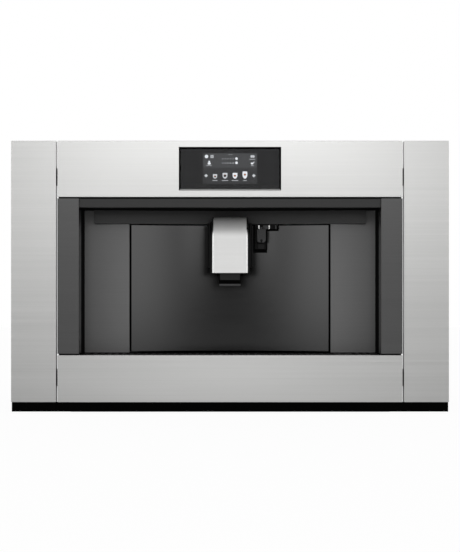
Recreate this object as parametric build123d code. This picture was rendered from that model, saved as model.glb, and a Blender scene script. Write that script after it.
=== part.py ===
"""Built-in bean-to-cup coffee machine with side trims, on pull-out runners.

Millimetres. +X is to the right of someone who faces the machine, -Y is towards them, +Z is up.
The origin is on the niche floor, under the middle of the machine's width and depth.
"""

import os
from math import sqrt

from build123d import *

# ---------------------------------------------------------------- front elevation
fascia_width = 598.0
trim_width = 78.0
trim_gap = 2.5
floor_clearance = 2.0
strip_height = 16.0
strip_gap = 0.5
drawer_front_height = 81.3
niche_height = 256.4
column_width = 37.0
bar_height = 15.1
bar_gap = 2.8
control_panel_height = 97.5
column_foot_gap = 2.4
column_head_gap = 2.3

# ---------------------------------------------------------------- depths
total_depth = 398.0
fascia_depth = 22.0
fascia_sheet = 1.5
bar_set_back = 3.0
bezel_wall = 2.5
reveal_depth = 42.0
carrier_sheet = 2.5
niche_depth = 110.0
niche_back_sheet = 2.0
ceiling_lap = 27.0
rear_stand_off = 2.0

# ---------------------------------------------------------------- casing and runners
case_sheet = 1.0
case_drop = 31.6
runner_thickness = 12.0
runner_sheet = 1.2
runner_height = 45.0
runner_end_gap = 11.0
runner_play = 0.4
base_sheet = 1.5
base_flange_sheet = 1.2
pan_height = 20.0
pan_sheet = 1.2
side_play = 0.3

# ---------------------------------------------------------------- service door and lamp hood
door_width = 355.2
door_foot_gap = 2.7
door_head_gap = 2.4
door_seam = 3.8
door_wall = 5.0
door_skin_sheet = 0.8
door_hollow = 28.0
hood_height = 24.0
hood_inset = 18.2
hood_reach = 15.0
hood_wall = 8.0
pivot_inset = 9.6
pivot_depth = 13.0
pivot_radius = 2.5
running_play = 0.05
knuckle_wall = 2.6

# ---------------------------------------------------------------- coffee spout
cover_width = 64.5
cover_height = 98.5
cover_head_gap = 2.7
cover_sheet = 1.2
cover_bend = 41.0
cover_reach = 34.7
cover_flange = 8.0
spout_drop = 48.0
spout_rise = 12.0
outlet_width = 36.0

# ---------------------------------------------------------------- small standard sizes
gap = 0.3
clear = 0.5
screw_radius = 2.0
screw_head_radius = 3.6
hose_radius = 3.0
hose_bend = 6.0
tub_corner = 8.0

# ---------------------------------------------------------------- levels that follow from them
front_y = -total_depth / 2
rear_y = total_depth / 2
carrier_back_y = front_y + fascia_depth
carrier_front_y = carrier_back_y - carrier_sheet
panel_y = front_y + niche_depth
rear_panel_y = rear_y - rear_stand_off
rear_inner_y = rear_panel_y - pan_sheet
liner_back_y = panel_y + niche_back_sheet + bezel_wall
ceiling_back_y = panel_y + ceiling_lap

strip_z0 = floor_clearance
drawer_z0 = strip_z0 + strip_height + strip_gap
drawer_z1 = drawer_z0 + drawer_front_height
niche_z1 = drawer_z1 + niche_height
bar_z1 = niche_z1 + bar_height
control_z0 = bar_z1 + bar_gap
control_z1 = control_z0 + control_panel_height
hood_z0 = niche_z1 - hood_height
door_z0 = drawer_z1 + door_foot_gap
door_z1 = hood_z0 - door_head_gap

half_fascia = fascia_width / 2
half_niche = half_fascia - column_width
half_door = door_width / 2
trim_x0 = half_fascia + trim_gap
half_overall = trim_x0 + trim_width
half_hood = half_niche - hood_inset
liner_x = half_niche + bezel_wall
case_inner_x = liner_x + side_play
case_x = case_inner_x + case_sheet
flange_inner_x = case_x + runner_thickness
flange_x = flange_inner_x + base_flange_sheet
pan_top = pan_height + pan_sheet
case_height = control_z1 - case_drop
cover_top_z = case_height + pan_sheet
liner_z0 = drawer_z1 - 3.3
liner_z1 = niche_z1 + bezel_wall


# ---------------------------------------------------------------- building helpers
def block(x0, x1, y0, y1, z0, z1):
    """A box between two corners."""
    middle = Pos((x0 + x1) / 2, (y0 + y1) / 2, (z0 + z1) / 2)
    return middle * Box(x1 - x0, y1 - y0, z1 - z0)


def mirrored(shape):
    """The same piece on the other side of the machine."""
    return mirror(shape, Plane.YZ)


def rod(x, y, z0, z1, radius):
    """An upright cylinder."""
    return Pos(x, y, (z0 + z1) / 2) * Cylinder(radius, z1 - z0)


def rod_y(x, z, y0, y1, radius):
    """A cylinder that lies front to back."""
    return Pos(x, (y0 + y1) / 2, z) * Rot(90, 0, 0) * Cylinder(radius, y1 - y0)


def rod_x(y, z, x0, x1, radius):
    """A cylinder that lies left to right."""
    return Pos((x0 + x1) / 2, y, z) * Rot(0, 90, 0) * Cylinder(radius, x1 - x0)


def pan(x0, x1, z0, z1, y0, y1, sheet):
    """A folded fascia: a front plate with a return on all four edges, open at the back."""
    hollow = block(x0 + sheet, x1 - sheet, y0 + sheet, y1, z0 + sheet, z1 - sheet)
    return block(x0, x1, y0, y1, z0, z1) - hollow


def rounded_block(x0, x1, y0, y1, z0, z1, radius):
    """A box with rounded upright edges."""
    section = Pos((x0 + x1) / 2, (y0 + y1) / 2, z0) * RectangleRounded(x1 - x0, y1 - y0, radius)
    return extrude(section, z1 - z0)


def tub(x0, x1, y0, y1, z0, z1, wall, radius):
    """A moulded box with rounded corners, open at the top."""
    outer = rounded_block(x0, x1, y0, y1, z0, z1, radius)
    inner = rounded_block(x0 + wall, x1 - wall, y0 + wall, y1 - wall, z0 + wall, z1, radius - wall)
    return outer - inner


def tube(points, radius, bend):
    """A bent pipe along straight runs joined by arcs."""
    path = FilletPolyline(*points, radius=bend)
    section = Plane(origin=path @ 0, z_dir=path % 0) * Circle(radius)
    return sweep(section, path=path)


def slot_row(plane, count, pitch, long, wide, deep):
    """Cutters for a row of rounded slots side by side along the plane's own x axis."""
    cutter = extrude(SlotOverall(long, wide, rotation=90), deep, both=True)
    return [plane * Pos((i - (count - 1) / 2) * pitch, 0, 0) * cutter for i in range(count)]


def door_arc(half, ends_y, hollow):
    """The hollow curve of the door and the lamp hood, in plan, from left to right."""
    return ThreePointArc((-half, ends_y), (0, ends_y + hollow), (half, ends_y))


def arc_y(x, half, ends_y, hollow):
    """How far back the hollow curve lies at x."""
    radius = (half**2 + hollow**2) / (2 * hollow)
    return ends_y + hollow - radius + sqrt(radius**2 - x**2)


def curved_band(half, ends_y, hollow, wall, z0, z1):
    """A wall of even depth that follows the hollow curve."""
    front = door_arc(half, ends_y, hollow)
    back = door_arc(half, ends_y + wall, hollow)
    sides = [Line(front @ 0, back @ 0), Line(front @ 1, back @ 1)]
    face = make_face([front, back, *sides])
    return Pos(0, 0, z0) * extrude(face, z1 - z0)


def write(name, *pieces):
    """Writes one node from its solids."""
    solids = [s for piece in pieces for s in piece.solids()]
    export_step(Compound(label=name, children=solids), f"parts/{name}.step")
    print(name, len(solids))


# ---------------------------------------------------------------- fixed base and telescopic runners
base_y0 = carrier_back_y + 2.0
base_y1 = rear_inner_y - 5.8
base_border = 60.0
base_flange_top = 52.0
floor_screw_radius = 2.75
floor_screw_x = 240.0
floor_screw_y = 140.0
runner_z0 = 5.0
runner_y0 = base_y0 + 4.0
runner_y1 = base_y1 - runner_end_gap


def mounting_base():
    plate = block(-flange_x, flange_x, base_y0, base_y1, 0, base_sheet)
    window_x = flange_x - base_border
    window = block(-window_x, window_x, base_y0 + base_border, base_y1 - base_border, 0, base_sheet)
    flange = block(flange_inner_x, flange_x, base_y0, base_y1, 0, base_flange_top)
    base = plate - window + flange + mirrored(flange)
    for x in (-floor_screw_x, floor_screw_x):
        for y in (-floor_screw_y, floor_screw_y):
            base -= rod(x, y, 0, base_sheet, floor_screw_radius)
    return base


def channel(web_x0, web_x1, lip_x, z0, z1):
    """One runner member: an upright web with a lip along its top and bottom."""
    y1 = runner_y1
    low, high = min(web_x0, lip_x), max(web_x1, lip_x)
    web = block(web_x0, web_x1, runner_y0, y1, z0, z1)
    foot = block(low, high, runner_y0, y1, z0, z0 + runner_sheet)
    head = block(low, high, runner_y0, y1, z1 - runner_sheet, z1)
    return web + foot + head


def runners():
    """The fixed, middle and machine members of the right-hand runner, nested in each other."""
    step = runner_sheet + runner_play
    lip = runner_thickness - 2 * step
    outer_z0, outer_z1 = runner_z0, runner_z0 + runner_height
    outer_x = flange_inner_x - runner_sheet
    outer = channel(outer_x, flange_inner_x, outer_x - lip, outer_z0, outer_z1)
    middle_x = outer_x - step
    middle_lip = middle_x - lip + step
    middle = channel(middle_x, middle_x + runner_sheet, middle_lip, outer_z0 + step, outer_z1 - step)
    inner_lip = middle_x - runner_play
    inner = channel(case_x, case_x + runner_sheet, inner_lip, outer_z0 + 2 * step, outer_z1 - 2 * step)
    return outer, middle, inner


# ---------------------------------------------------------------- casing
side_foot_z = runner_z0 + 2 * (runner_sheet + runner_play)
slot_long = 60.0
slot_wide = 5.0
slot_pitch = 12.0
hopper_x, hopper_y = 87.3 - case_inner_x, 65.0
hopper_width, hopper_length = 145.0, 190.0
knob_x, knob_y = hopper_x + hopper_width / 2 + 33.0, hopper_y - 5.0
knob_radius = 15.0
knob_stem_radius = 6.0
brew_x1 = 58.0
steam_boiler_radius, steam_boiler_height = 34.0, 120.0
steam_boiler_at = (brew_x1 + steam_boiler_radius + 12.0, 82.0)
tank_x0, tank_x1 = steam_boiler_at[0] + steam_boiler_radius + 25.0, case_inner_x + 0.2
tank_y0, tank_y1 = panel_y + 69.0, rear_y - 59.0
tank_z0, tank_z1 = 130.0, 306.0
tank_play = 2.0
inlet_x, inlet_z = 180.0, 60.0
inlet_width, inlet_height = 34.0, 26.0
switch_x = 135.0
inlet_plate_x0, inlet_plate_x1 = switch_x - 16.0, inlet_x + 30.0
inlet_plate_half = 19.0
screw_rows = (pan_height + 25.0, case_height / 2 + 20.0, case_height - 20.0)
screw_inset = 12.0
ear_radius = 3.6
ear_y = hopper_y + hopper_length / 2 + 6.0
ear_z = cover_top_z + ear_radius
ear_inner = 38.0
ear_thick = 5.0
lid_pin_radius = 1.5


def side_panel():
    """The casing's right side, before its openings."""
    return block(case_inner_x, case_x, carrier_back_y, rear_panel_y, side_foot_z, case_height)


def side_panel_left():
    panel = mirrored(side_panel())
    for z in (130.0, 210.0):
        wall = Plane(origin=(-case_x, 110, z), x_dir=(0, 1, 0), z_dir=(1, 0, 0))
        panel -= slot_row(wall, 9, slot_pitch, slot_long, slot_wide, 2 * case_sheet)
    return panel


def side_panel_right():
    z0, z1 = tank_z0 - tank_play, tank_z1 + 4 * tank_play
    return side_panel() - block(case_inner_x, case_x, tank_y0 - tank_play, tank_y1 + tank_play, z0, z1)


def screw_places():
    """Where the rear panel's screws are, as (x, z)."""
    return [(side * (case_inner_x - screw_inset), z) for side in (-1, 1) for z in screw_rows]


def rear_panel():
    panel = block(-case_inner_x, case_inner_x, rear_inner_y, rear_panel_y, pan_height, case_height)
    for z in (case_height - 140, case_height - 55):
        wall = Plane(origin=(100, rear_panel_y, z), x_dir=(-1, 0, 0), z_dir=(0, 1, 0))
        panel -= slot_row(wall, 15, slot_pitch, slot_long, slot_wide, 2 * pan_sheet)
    z0, z1 = inlet_z - inlet_plate_half + 3, inlet_z + inlet_plate_half - 3
    panel -= block(inlet_plate_x0 + 3, inlet_plate_x1 - 3, rear_inner_y, rear_panel_y, z0, z1)
    for x, z in screw_places():
        panel -= rod_y(x, z, rear_inner_y, rear_panel_y, screw_radius)
    return panel


def case_screws():
    """Pan-head screws that hold the rear panel."""
    screws = []
    for x, z in screw_places():
        head = rod_y(x, z, rear_panel_y, rear_y, screw_head_radius)
        recess = rod_y(x, z, rear_y - 1, rear_y, screw_head_radius / 3)
        screws.append(head - recess + rod_y(x, z, rear_panel_y - 8, rear_panel_y, screw_radius))
    return screws


def floor_pan():
    plate = block(-case_inner_x, case_inner_x, carrier_back_y, rear_inner_y, pan_height, pan_top)
    for x in (-150, 30):
        floor = Plane(origin=(x, 160, pan_height), x_dir=(1, 0, 0), z_dir=(0, 0, 1))
        plate -= slot_row(floor, 6, slot_pitch, slot_long / 2, slot_wide, 2 * pan_sheet)
    return plate


def top_cover():
    cover = block(-case_x, case_x, carrier_back_y, rear_panel_y, case_height, cover_top_z)
    hole = Plane(origin=(hopper_x, hopper_y, case_height)) * Rectangle(hopper_width + 1, hopper_length + 1)
    cover -= extrude(hole, pan_sheet)
    cover -= rod(knob_x, knob_y, case_height, cover_top_z, knob_stem_radius + clear)
    for side in (-1, 1):
        x0, x1 = sorted((hopper_x + side * ear_inner, hopper_x + side * (ear_inner + ear_thick)))
        ear = rod_x(ear_y, ear_z, x0, x1, ear_radius)
        cover += ear + block(x0, x1, ear_y - ear_radius, ear_y + ear_radius, cover_top_z, ear_z)
    return cover + rod_x(ear_y, ear_z, hopper_x - ear_inner, hopper_x + ear_inner, lid_pin_radius)


# ---------------------------------------------------------------- front frame and fascias
bracket_levels = (drawer_z0 + 41.5, control_z1 - 61.6)
bracket_half = 15.0
bracket_inset = 9.0
bracket_reach = trim_width - 6.0
bracket_tab = 10.0
window_half = 88.7
window_z0, window_z1 = control_z0 + 11.1, control_z1 - 10.9
window_bevel = 3.2
glass_thickness = 2.0
cable_hole_radius = 12.0
strip_set_back = 2.0


def front_carrier():
    x1, z0 = half_fascia, strip_z0 + 1
    plate = block(-x1, x1, carrier_front_y, carrier_back_y, z0, control_z1 - 2 * fascia_sheet)
    plate -= block(-liner_x, liner_x, carrier_front_y, carrier_back_y, pan_top, liner_z1)
    for level in bracket_levels:
        z0, z1 = level - bracket_half, level + bracket_half
        notch = block(x1 - bracket_inset, x1, carrier_front_y, carrier_back_y, z0, z1)
        plate -= notch + mirrored(notch)
    plate -= rod_y(0, (window_z0 + window_z1) / 2, carrier_front_y, carrier_back_y, cable_hole_radius)
    return plate


def trim_brackets():
    """Straps that carry the side trims off the front frame."""
    straps = []
    x0 = half_fascia - bracket_inset
    for level in bracket_levels:
        z0, z1 = level - bracket_half, level + bracket_half
        strap = block(x0, x0 + bracket_reach, carrier_front_y, carrier_back_y, z0, z1)
        strap += block(x0 - bracket_tab, x0 + 7, carrier_front_y - carrier_sheet, carrier_front_y, z0, z1)
        straps += [strap, mirrored(strap)]
    return straps


def side_trim():
    return pan(trim_x0, half_overall, drawer_z0, control_z1, front_y, carrier_front_y, fascia_sheet)


def base_strip():
    half = half_overall - 1
    y0 = front_y + strip_set_back
    return pan(-half, half, strip_z0, strip_z0 + strip_height, y0, carrier_front_y, fascia_sheet)


def niche_column():
    z0, z1 = drawer_z1 + column_foot_gap, control_z0 - column_head_gap
    shell = pan(half_niche, half_fascia, z0, z1, front_y, carrier_front_y, fascia_sheet)
    return shell + block(half_niche, liner_x, front_y, front_y + reveal_depth, z0, liner_z1)


def niche_top_bar():
    y0 = front_y + bar_set_back
    return pan(-half_niche, half_niche, niche_z1, bar_z1, y0, carrier_front_y, fascia_sheet)


def window_cutter(deep):
    """The bevelled window, narrowing from the front of the panel."""
    width, height = 2 * window_half, window_z1 - window_z0
    front = Plane(origin=(0, front_y, (window_z0 + window_z1) / 2), x_dir=(1, 0, 0), z_dir=(0, 1, 0))
    return front * extrude(Rectangle(width, height), deep, taper=45)


def control_panel():
    shell = pan(-half_fascia, half_fascia, control_z0, control_z1, front_y, carrier_front_y, fascia_sheet)
    rim = 1.2
    half, z0, z1 = window_half + rim, window_z0 - rim, window_z1 + rim
    shell += block(-half, half, front_y, front_y + window_bevel, z0, z1)
    return shell - window_cutter(window_bevel)


def display_glass():
    half, y0 = window_half, front_y + window_bevel
    return block(-half, half, y0, y0 + glass_thickness, window_z0, window_z1)


def display_module():
    """The screen and its board, on four pillars off the front frame."""
    half, y0 = window_half - 4, front_y + window_bevel + glass_thickness
    z0, z1 = window_z0 + 4, window_z1 - 4
    board_y = y0 + 7
    board_back = board_y + 1.6
    screen = block(-half + 6, half - 6, y0, board_y, z0, z1)
    board = block(-half, half, board_y, board_back, z0, z1)
    pillars = [
        rod_y(x, z, board_back, carrier_front_y, 3)
        for x in (-half + 5, half - 5)
        for z in (z0 + 5, z1 - 5)
    ]
    return screen + board + pillars


# ---------------------------------------------------------------- cup niche
hood_clear = 0.5
strip_edge = half_door + 8.4
lamp_half = 22.0
lamp_x = 95.0
lamp_depth = 4.0


def niche_liner():
    wall = block(half_niche, liner_x, front_y + reveal_depth, liner_back_y, liner_z0, liner_z1)
    strip = block(strip_edge, liner_x, panel_y + niche_back_sheet, liner_back_y, liner_z0, liner_z1)
    half = half_hood + hood_clear
    strip -= block(strip_edge, half, panel_y, liner_back_y, hood_z0 - hood_clear, niche_z1)
    ceiling = block(-liner_x, liner_x, front_y + reveal_depth, ceiling_back_y, niche_z1, liner_z1)
    ceiling += block(-half_niche, half_niche, carrier_front_y, front_y + reveal_depth, niche_z1, liner_z1)
    return ceiling + wall + mirrored(wall) + strip + mirrored(strip)


def niche_back():
    x0, half = half_door + door_seam, half_hood + hood_clear
    sheet = block(x0, half_niche, panel_y, panel_y + niche_back_sheet, drawer_z1 + clear, niche_z1)
    return sheet - block(x0, half, panel_y, panel_y + niche_back_sheet, hood_z0 - hood_clear, niche_z1)


def lamp_places():
    half, ends_y = half_hood, panel_y - hood_reach
    return [(x, arc_y(x, half, ends_y, hood_reach + 10) + hood_wall / 2) for x in (-lamp_x, lamp_x)]


def lamp_block(x, y, play):
    half = lamp_half + play
    return block(x - half, x + half, y - 2 - play, y + 2 + play, hood_z0, hood_z0 + lamp_depth)


def lamp_hood():
    half, ends_y = half_hood, panel_y - hood_reach
    hood = curved_band(half, ends_y, hood_reach + 10, hood_wall, hood_z0, niche_z1)
    for x, y in lamp_places():
        hood -= lamp_block(x, y, 0)
    return hood


def cup_lamps():
    return [lamp_block(x, y, 0) for x, y in lamp_places()]


# ---------------------------------------------------------------- service door
pivot_x = -half_door + pivot_inset
pivot_y = panel_y + pivot_depth
pivot_hole_depth = 9.0
lug_height = 14.0
arm_sheet = 2.0
rib_inset = 14.0
rib_sheet = 3.0
rib_depth = 11.0
guide_half = cover_width / 2 + 6.95
guide_y0 = panel_y - 30.0
guide_corner = 3.0
cover_z1 = niche_z1 - spout_rise - cover_head_gap
cover_z0 = cover_z1 - cover_height
guide_z0 = cover_z0 + 11.0
notch_x0 = guide_half + 3.0
notch_x1 = notch_x0 + 25.3
notch_z0 = door_z1 - 49.2
notch_arm_x1 = notch_x0 + 46.1
notch_arm_z0 = door_z1 - 9.8
tee_neck, tee_head = 5.0, 10.0
tee_neck_depth, tee_depth = 7.0, 13.0
door_middle_y = panel_y + door_hollow
hook_half = 55.0
hook_z = door_z0 + 97.5
hook_y = door_middle_y + 13.0
hook_sheet = 2.0
hook_rise = 10.0


def door_notch():
    """What the steam connection's notch takes out of the door."""
    back = door_middle_y + 40
    notch = block(notch_x0, notch_x1, panel_y, back, notch_z0, door_z1)
    return notch + block(notch_x0, notch_arm_x1, panel_y, back, notch_arm_z0, door_z1)


def door_skin():
    """The curved steel sheet on the front of the door."""
    skin = curved_band(half_door, panel_y, door_hollow, door_skin_sheet, door_z0, door_z1)
    return skin - door_notch()


def service_door():
    """The door's moulded frame, with its pivot lugs and the hook for the grounds container."""
    back_wall = door_wall - door_skin_sheet
    door = curved_band(half_door, panel_y + door_skin_sheet, door_hollow, back_wall, door_z0, door_z1)
    half = half_door - rib_inset
    rib_y = arc_y(half, half_door, panel_y, door_hollow) + door_skin_sheet + gap
    hollow = door_middle_y + door_skin_sheet + gap - rib_y
    for z0, z1 in ((door_z0, door_z0 + rib_sheet), (door_z1 - rib_sheet, door_z1)):
        door += curved_band(half, rib_y, hollow, rib_depth, z0, z1)
    foot_x = pivot_radius + knuckle_wall
    foot_y = arc_y(pivot_x + foot_x, half_door, panel_y, door_hollow) + door_skin_sheet + gap
    for z0, z1 in ((door_z0, door_z0 + lug_height), (door_z1 - lug_height, door_z1)):
        lug = rod(pivot_x, pivot_y, z0, z1, foot_x)
        lug += block(pivot_x - foot_x, pivot_x + foot_x, foot_y, pivot_y, z0, z1)
        hole_z = z0 if z0 == door_z0 else z1 - pivot_hole_depth
        door += lug
        door -= rod(pivot_x, pivot_y, hole_z, hole_z + pivot_hole_depth, pivot_radius + running_play)
    tongue_y0 = hook_y - hook_sheet
    hook_root = door_middle_y + door_skin_sheet + gap
    door += block(-hook_half, hook_half, hook_root, hook_y, hook_z, hook_z + hook_sheet)
    door += block(-hook_half, hook_half, tongue_y0, hook_y, hook_z, hook_z + hook_rise)
    return door - door_notch()


def tee(play, z0, z1, y_front):
    """The T-shaped tongue of the spout carriage, or with play the groove that it runs in."""
    neck = block(-tee_neck - play, tee_neck + play, y_front, guide_y0 + tee_depth + play, z0, z1)
    head_y0 = guide_y0 + tee_neck_depth - play
    return neck + block(-tee_head - play, tee_head + play, head_y0, guide_y0 + tee_depth + play, z0, z1)


def spout_guide():
    """The black upright housing on the door that the coffee spout runs up and down."""
    z1 = door_z1 + 2
    guide = block(-guide_half, guide_half, guide_y0, door_middle_y, guide_z0, z1)
    guide = fillet(guide.edges().filter_by(Axis.Z).group_by(Axis.Y)[0], guide_corner)
    guide -= tee(clear, guide_z0, z1, guide_y0)
    guide -= curved_band(half_door, panel_y, door_hollow, door_wall, guide_z0, z1)
    return guide - block(-guide_half + 4, guide_half - 4, guide_y0 + 22, door_middle_y, guide_z0, z1 - 3)


def door_hinge_brackets():
    """Two pivot arms behind the liner: one under the door and one over it."""
    brackets = []
    reach = pivot_radius + knuckle_wall
    arms = (
        (door_z0 - gap - arm_sheet, door_z0 - gap, pivot_hole_depth - 1),
        (door_z1 + gap, door_z1 + gap + arm_sheet, 1 - pivot_hole_depth),
    )
    for z0, z1, pin in arms:
        arm = block(-strip_edge - 16, pivot_x, liner_back_y, pivot_y + reach, z0, z1)
        arm += rod(pivot_x, pivot_y, z0, z1, reach)
        leg_z0, leg_z1 = sorted((z0 if pin > 0 else z1, (z0 if pin > 0 else z1) + 3 * pin))
        leg_y1 = liner_back_y + arm_sheet
        arm += block(-strip_edge - 16, -strip_edge - 2, liner_back_y, leg_y1, leg_z0, leg_z1)
        pin_z0, pin_z1 = sorted((z0 if pin > 0 else z1, (z1 if pin > 0 else z0) + pin))
        brackets.append(arm + rod(pivot_x, pivot_y, pin_z0, pin_z1, pivot_radius))
    return brackets


# ---------------------------------------------------------------- steam and hot-water connection
nozzle_x = notch_x0 + 14.0
nozzle_radius = 7.9
nozzle_z0, nozzle_z1 = notch_z0 + 17.4, notch_z0 + 45.1
connector_front_y = panel_y + 9.0
connector_back_y = panel_y + 47.0
connector_plate = 2.0
plate_lap = 6.0
connector_side = 2.8
nozzle_shank = 4.0
connector_catch = 3.0


def steam_connector():
    """The fixed black outlet block that looks through the notch in the door."""
    x0, x1 = notch_x0 + connector_side, notch_x1 - connector_side
    arm_x1 = notch_arm_x1 - connector_side
    body = block(x0, x1, connector_front_y, connector_back_y, notch_z0 + 6, hood_z0)
    body += block(x0, arm_x1, connector_front_y, connector_back_y, notch_arm_z0 + 3, hood_z0)
    z = (nozzle_z0 + nozzle_z1) / 2 + 4
    body -= rod_y(nozzle_x, z, connector_front_y, connector_front_y + 14, nozzle_shank + clear)
    catch_z1 = nozzle_z0 - 2
    y0 = connector_front_y - connector_catch
    body += block(nozzle_x - 5.5, nozzle_x + 5.5, y0, connector_front_y, catch_z1 - 9, catch_z1)
    for x in (nozzle_x - 8.2, nozzle_x + 9.4):
        body += rod_y(x, nozzle_z1 - 1, y0, connector_front_y, 1.6)
    plate_x0, plate_x1 = notch_x0 - plate_lap, notch_arm_x1 + plate_lap
    plate_y0 = connector_back_y - connector_plate
    return body + block(plate_x0, plate_x1, plate_y0, connector_back_y, notch_z0 - plate_lap, hood_z0)


def hot_water_spout():
    """The ribbed grey outlet that pulls off forwards."""
    y = connector_front_y - gap - nozzle_radius
    body = rod(nozzle_x, y, nozzle_z0 + 3, nozzle_z1, nozzle_radius)
    body += rod(nozzle_x, y, nozzle_z0, nozzle_z0 + 3, nozzle_radius - 2)
    for i in range(4):
        z = nozzle_z0 + 9 + i * 4
        ring = rod(nozzle_x, y, z, z + 1.2, nozzle_radius)
        body -= ring - rod(nozzle_x, y, z, z + 1.2, nozzle_radius - 0.7)
    z = (nozzle_z0 + nozzle_z1) / 2 + 4
    body += rod_y(nozzle_x, z, y, connector_front_y + 12, nozzle_shank)
    return body - rod(nozzle_x, y, nozzle_z0, nozzle_z0 + 16, 2.5)


# ---------------------------------------------------------------- coffee spout
cover_y0 = guide_y0 - gap - cover_reach
carriage_half = cover_width / 2 + 3.15
carriage_z0 = cover_z0 - 1.0
carriage_front_half = cover_width / 2 - cover_sheet
outlet_y0, outlet_y1 = cover_y0 + 5.0, guide_y0 - 3.0
outlet_z0 = cover_z0 - 24.0
tee_hold = 19.5
tee_z0, tee_z1 = carriage_z0 + 20.0, guide_z0 + spout_drop + tee_hold


def spout_profile(inset, z0, back_y):
    """The side view of the cover's skin, drawn as a solid nose that ends at back_y."""
    y0 = cover_y0 + inset
    radius = cover_bend - inset
    centre_y, centre_z = cover_y0 + cover_bend, cover_z1 - cover_bend
    z_end = centre_z + sqrt(radius**2 - (centre_y - back_y) ** 2)
    middle_y = centre_y - radius * sqrt(0.5)
    middle_z = centre_z + radius * sqrt(0.5)
    arc = ThreePointArc((y0, centre_z), (middle_y, middle_z), (back_y, z_end))
    lines = Polyline((back_y, z_end), (back_y, z0), (y0, z0), (y0, centre_z))
    return make_face([arc, *lines.edges()])


def nose(half, inset, z0, back_y):
    """The nose, as a solid across the machine's width."""
    side = Plane(origin=(-half, 0, 0), x_dir=(0, 1, 0), z_dir=(1, 0, 0))
    return side * extrude(spout_profile(inset, z0, back_y), 2 * half)


def spout_cover():
    back = cover_y0 + cover_reach
    skin = nose(cover_width / 2, 0, cover_z0, back)
    inner = nose(carriage_front_half, cover_sheet, cover_z0, back)
    hollow = nose(cover_width / 2, cover_flange, cover_z0, back)
    return skin - inner - hollow


def spout_carriage():
    back = guide_y0 - gap
    front = nose(carriage_front_half, cover_sheet, carriage_z0, back)
    step_y = cover_flange + gap
    wide = nose(carriage_half, step_y, carriage_z0, back)
    hollow = nose(carriage_front_half - 3, cover_sheet + 3, carriage_z0 + 3, back - 3)
    return front + wide - hollow + tee(0, tee_z0, tee_z1, back - 1)


def coffee_outlet():
    """The twin outlet under the carriage."""
    half = outlet_width / 2
    body = block(-half, half, outlet_y0, outlet_y1, outlet_z0, carriage_z0)
    body -= block(-half, half, outlet_y0, outlet_y0 + 4, outlet_z0 + 6, outlet_z0 + 12)
    for x in (-8, 8):
        body += rod(x, (outlet_y0 + outlet_y1) / 2, outlet_z0 - 3, outlet_z0, 4.5)
        body -= rod(x, (outlet_y0 + outlet_y1) / 2, outlet_z0 - 3, outlet_z0 + 10, 2.6)
    for x in (-half - 1.5, half + 1.5):
        body += block(x - 4, x + 4, outlet_y0 + 4, outlet_y0 + 10, carriage_z0 - 3.5, carriage_z0)
    return body


# ---------------------------------------------------------------- drip-tray drawer
tray_z0 = pan_top + gap
tray_z1 = liner_z0 - gap
tray_half = liner_x - gap
tray_wall = 2.0
tray_y1 = panel_y + 79.0
grid_z0 = tray_z1
grid_thickness = 3.0
grid_y0, grid_y1 = carrier_front_y + 1.0, panel_y - 3.0
grid_half = half_niche - 0.6
grid_slot, grid_bar = 8.0, 5.0
float_x, float_y = 200.0, panel_y - 46.0
float_rod, float_disc, float_cap = 4.0, 18.0, 5.0
float_disc_z = 52.0


def drawer_front():
    y1 = carrier_front_y - gap
    return pan(-half_fascia, half_fascia, drawer_z0, drawer_z1, front_y, y1, fascia_sheet)


def drip_tray():
    y0 = front_y + fascia_sheet
    tray = tub(-tray_half, tray_half, y0, tray_y1, tray_z0, tray_z1, tray_wall, tub_corner)
    tray += rod(float_x, float_y, tray_z0 + tray_wall, float_disc_z - gap, float_rod + 3)
    tray -= rod(float_x, float_y, tray_z0 + tray_wall, float_disc_z - gap, float_rod + gap)
    ledge = block(-tray_half, tray_half, grid_y1 - 12, grid_y1 - 9, tray_z0 + tray_wall, tray_z1)
    ledge -= block(-60, 60, grid_y1 - 12, grid_y1 - 9, tray_z0 + tray_wall, tray_z0 + 22)
    return tray + ledge


def cup_grid():
    grid = block(-grid_half, grid_half, grid_y0, grid_y1, grid_z0 + gap, grid_z0 + gap + grid_thickness)
    pitch = grid_slot + grid_bar
    count = int((2 * grid_half - 2 * grid_bar) / pitch)
    for row_y0, row_y1 in ((grid_y0 + 6, float_y - 4), (float_y + 4, grid_y1 - 6)):
        slots = []
        for i in range(count):
            x = (i - (count - 1) / 2) * pitch
            if abs(x - float_x) < 14:
                continue
            slots.append(block(x - grid_slot / 2, x + grid_slot / 2, row_y0, row_y1, grid_z0, grid_z0 + 5))
        grid -= slots
    return grid - rod(float_x, float_y, grid_z0, grid_z0 + 5, float_cap + clear)


def float_marker():
    """The overflow float: it lifts its cap through the grid when the tray is full."""
    body = rod(float_x, float_y, tray_z0 + tray_wall + 1, float_disc_z, float_rod)
    body += rod(float_x, float_y, float_disc_z, float_disc_z + 14, float_disc)
    body += rod(float_x, float_y, float_disc_z + 14, grid_z0 - 2, float_rod - 1)
    return body + rod(float_x, float_y, grid_z0 - 2, grid_z0 + 2.5, float_cap)


# ---------------------------------------------------------------- grounds container
grounds_half = 80.0
grounds_y0, grounds_y1 = hook_y + gap, hook_y + 73.0
grounds_z0 = door_z0 + 15.5
grounds_z1 = hook_z + hook_rise + gap + hook_sheet
grounds_wall = 2.0


def grounds_container():
    half, y0, y1 = grounds_half, grounds_y0, grounds_y1
    box = tub(-half, half, y0, y1, grounds_z0, grounds_z1, grounds_wall, tub_corner)
    half = hook_half - 3
    lip_y1 = hook_y - hook_sheet - gap
    top_z0 = grounds_z1 - hook_sheet
    box += block(-half, half, lip_y1 - hook_sheet, grounds_y0 + 1, top_z0, grounds_z1)
    return box + block(-half, half, lip_y1 - hook_sheet, lip_y1, top_z0 - 7, grounds_z1)


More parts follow.
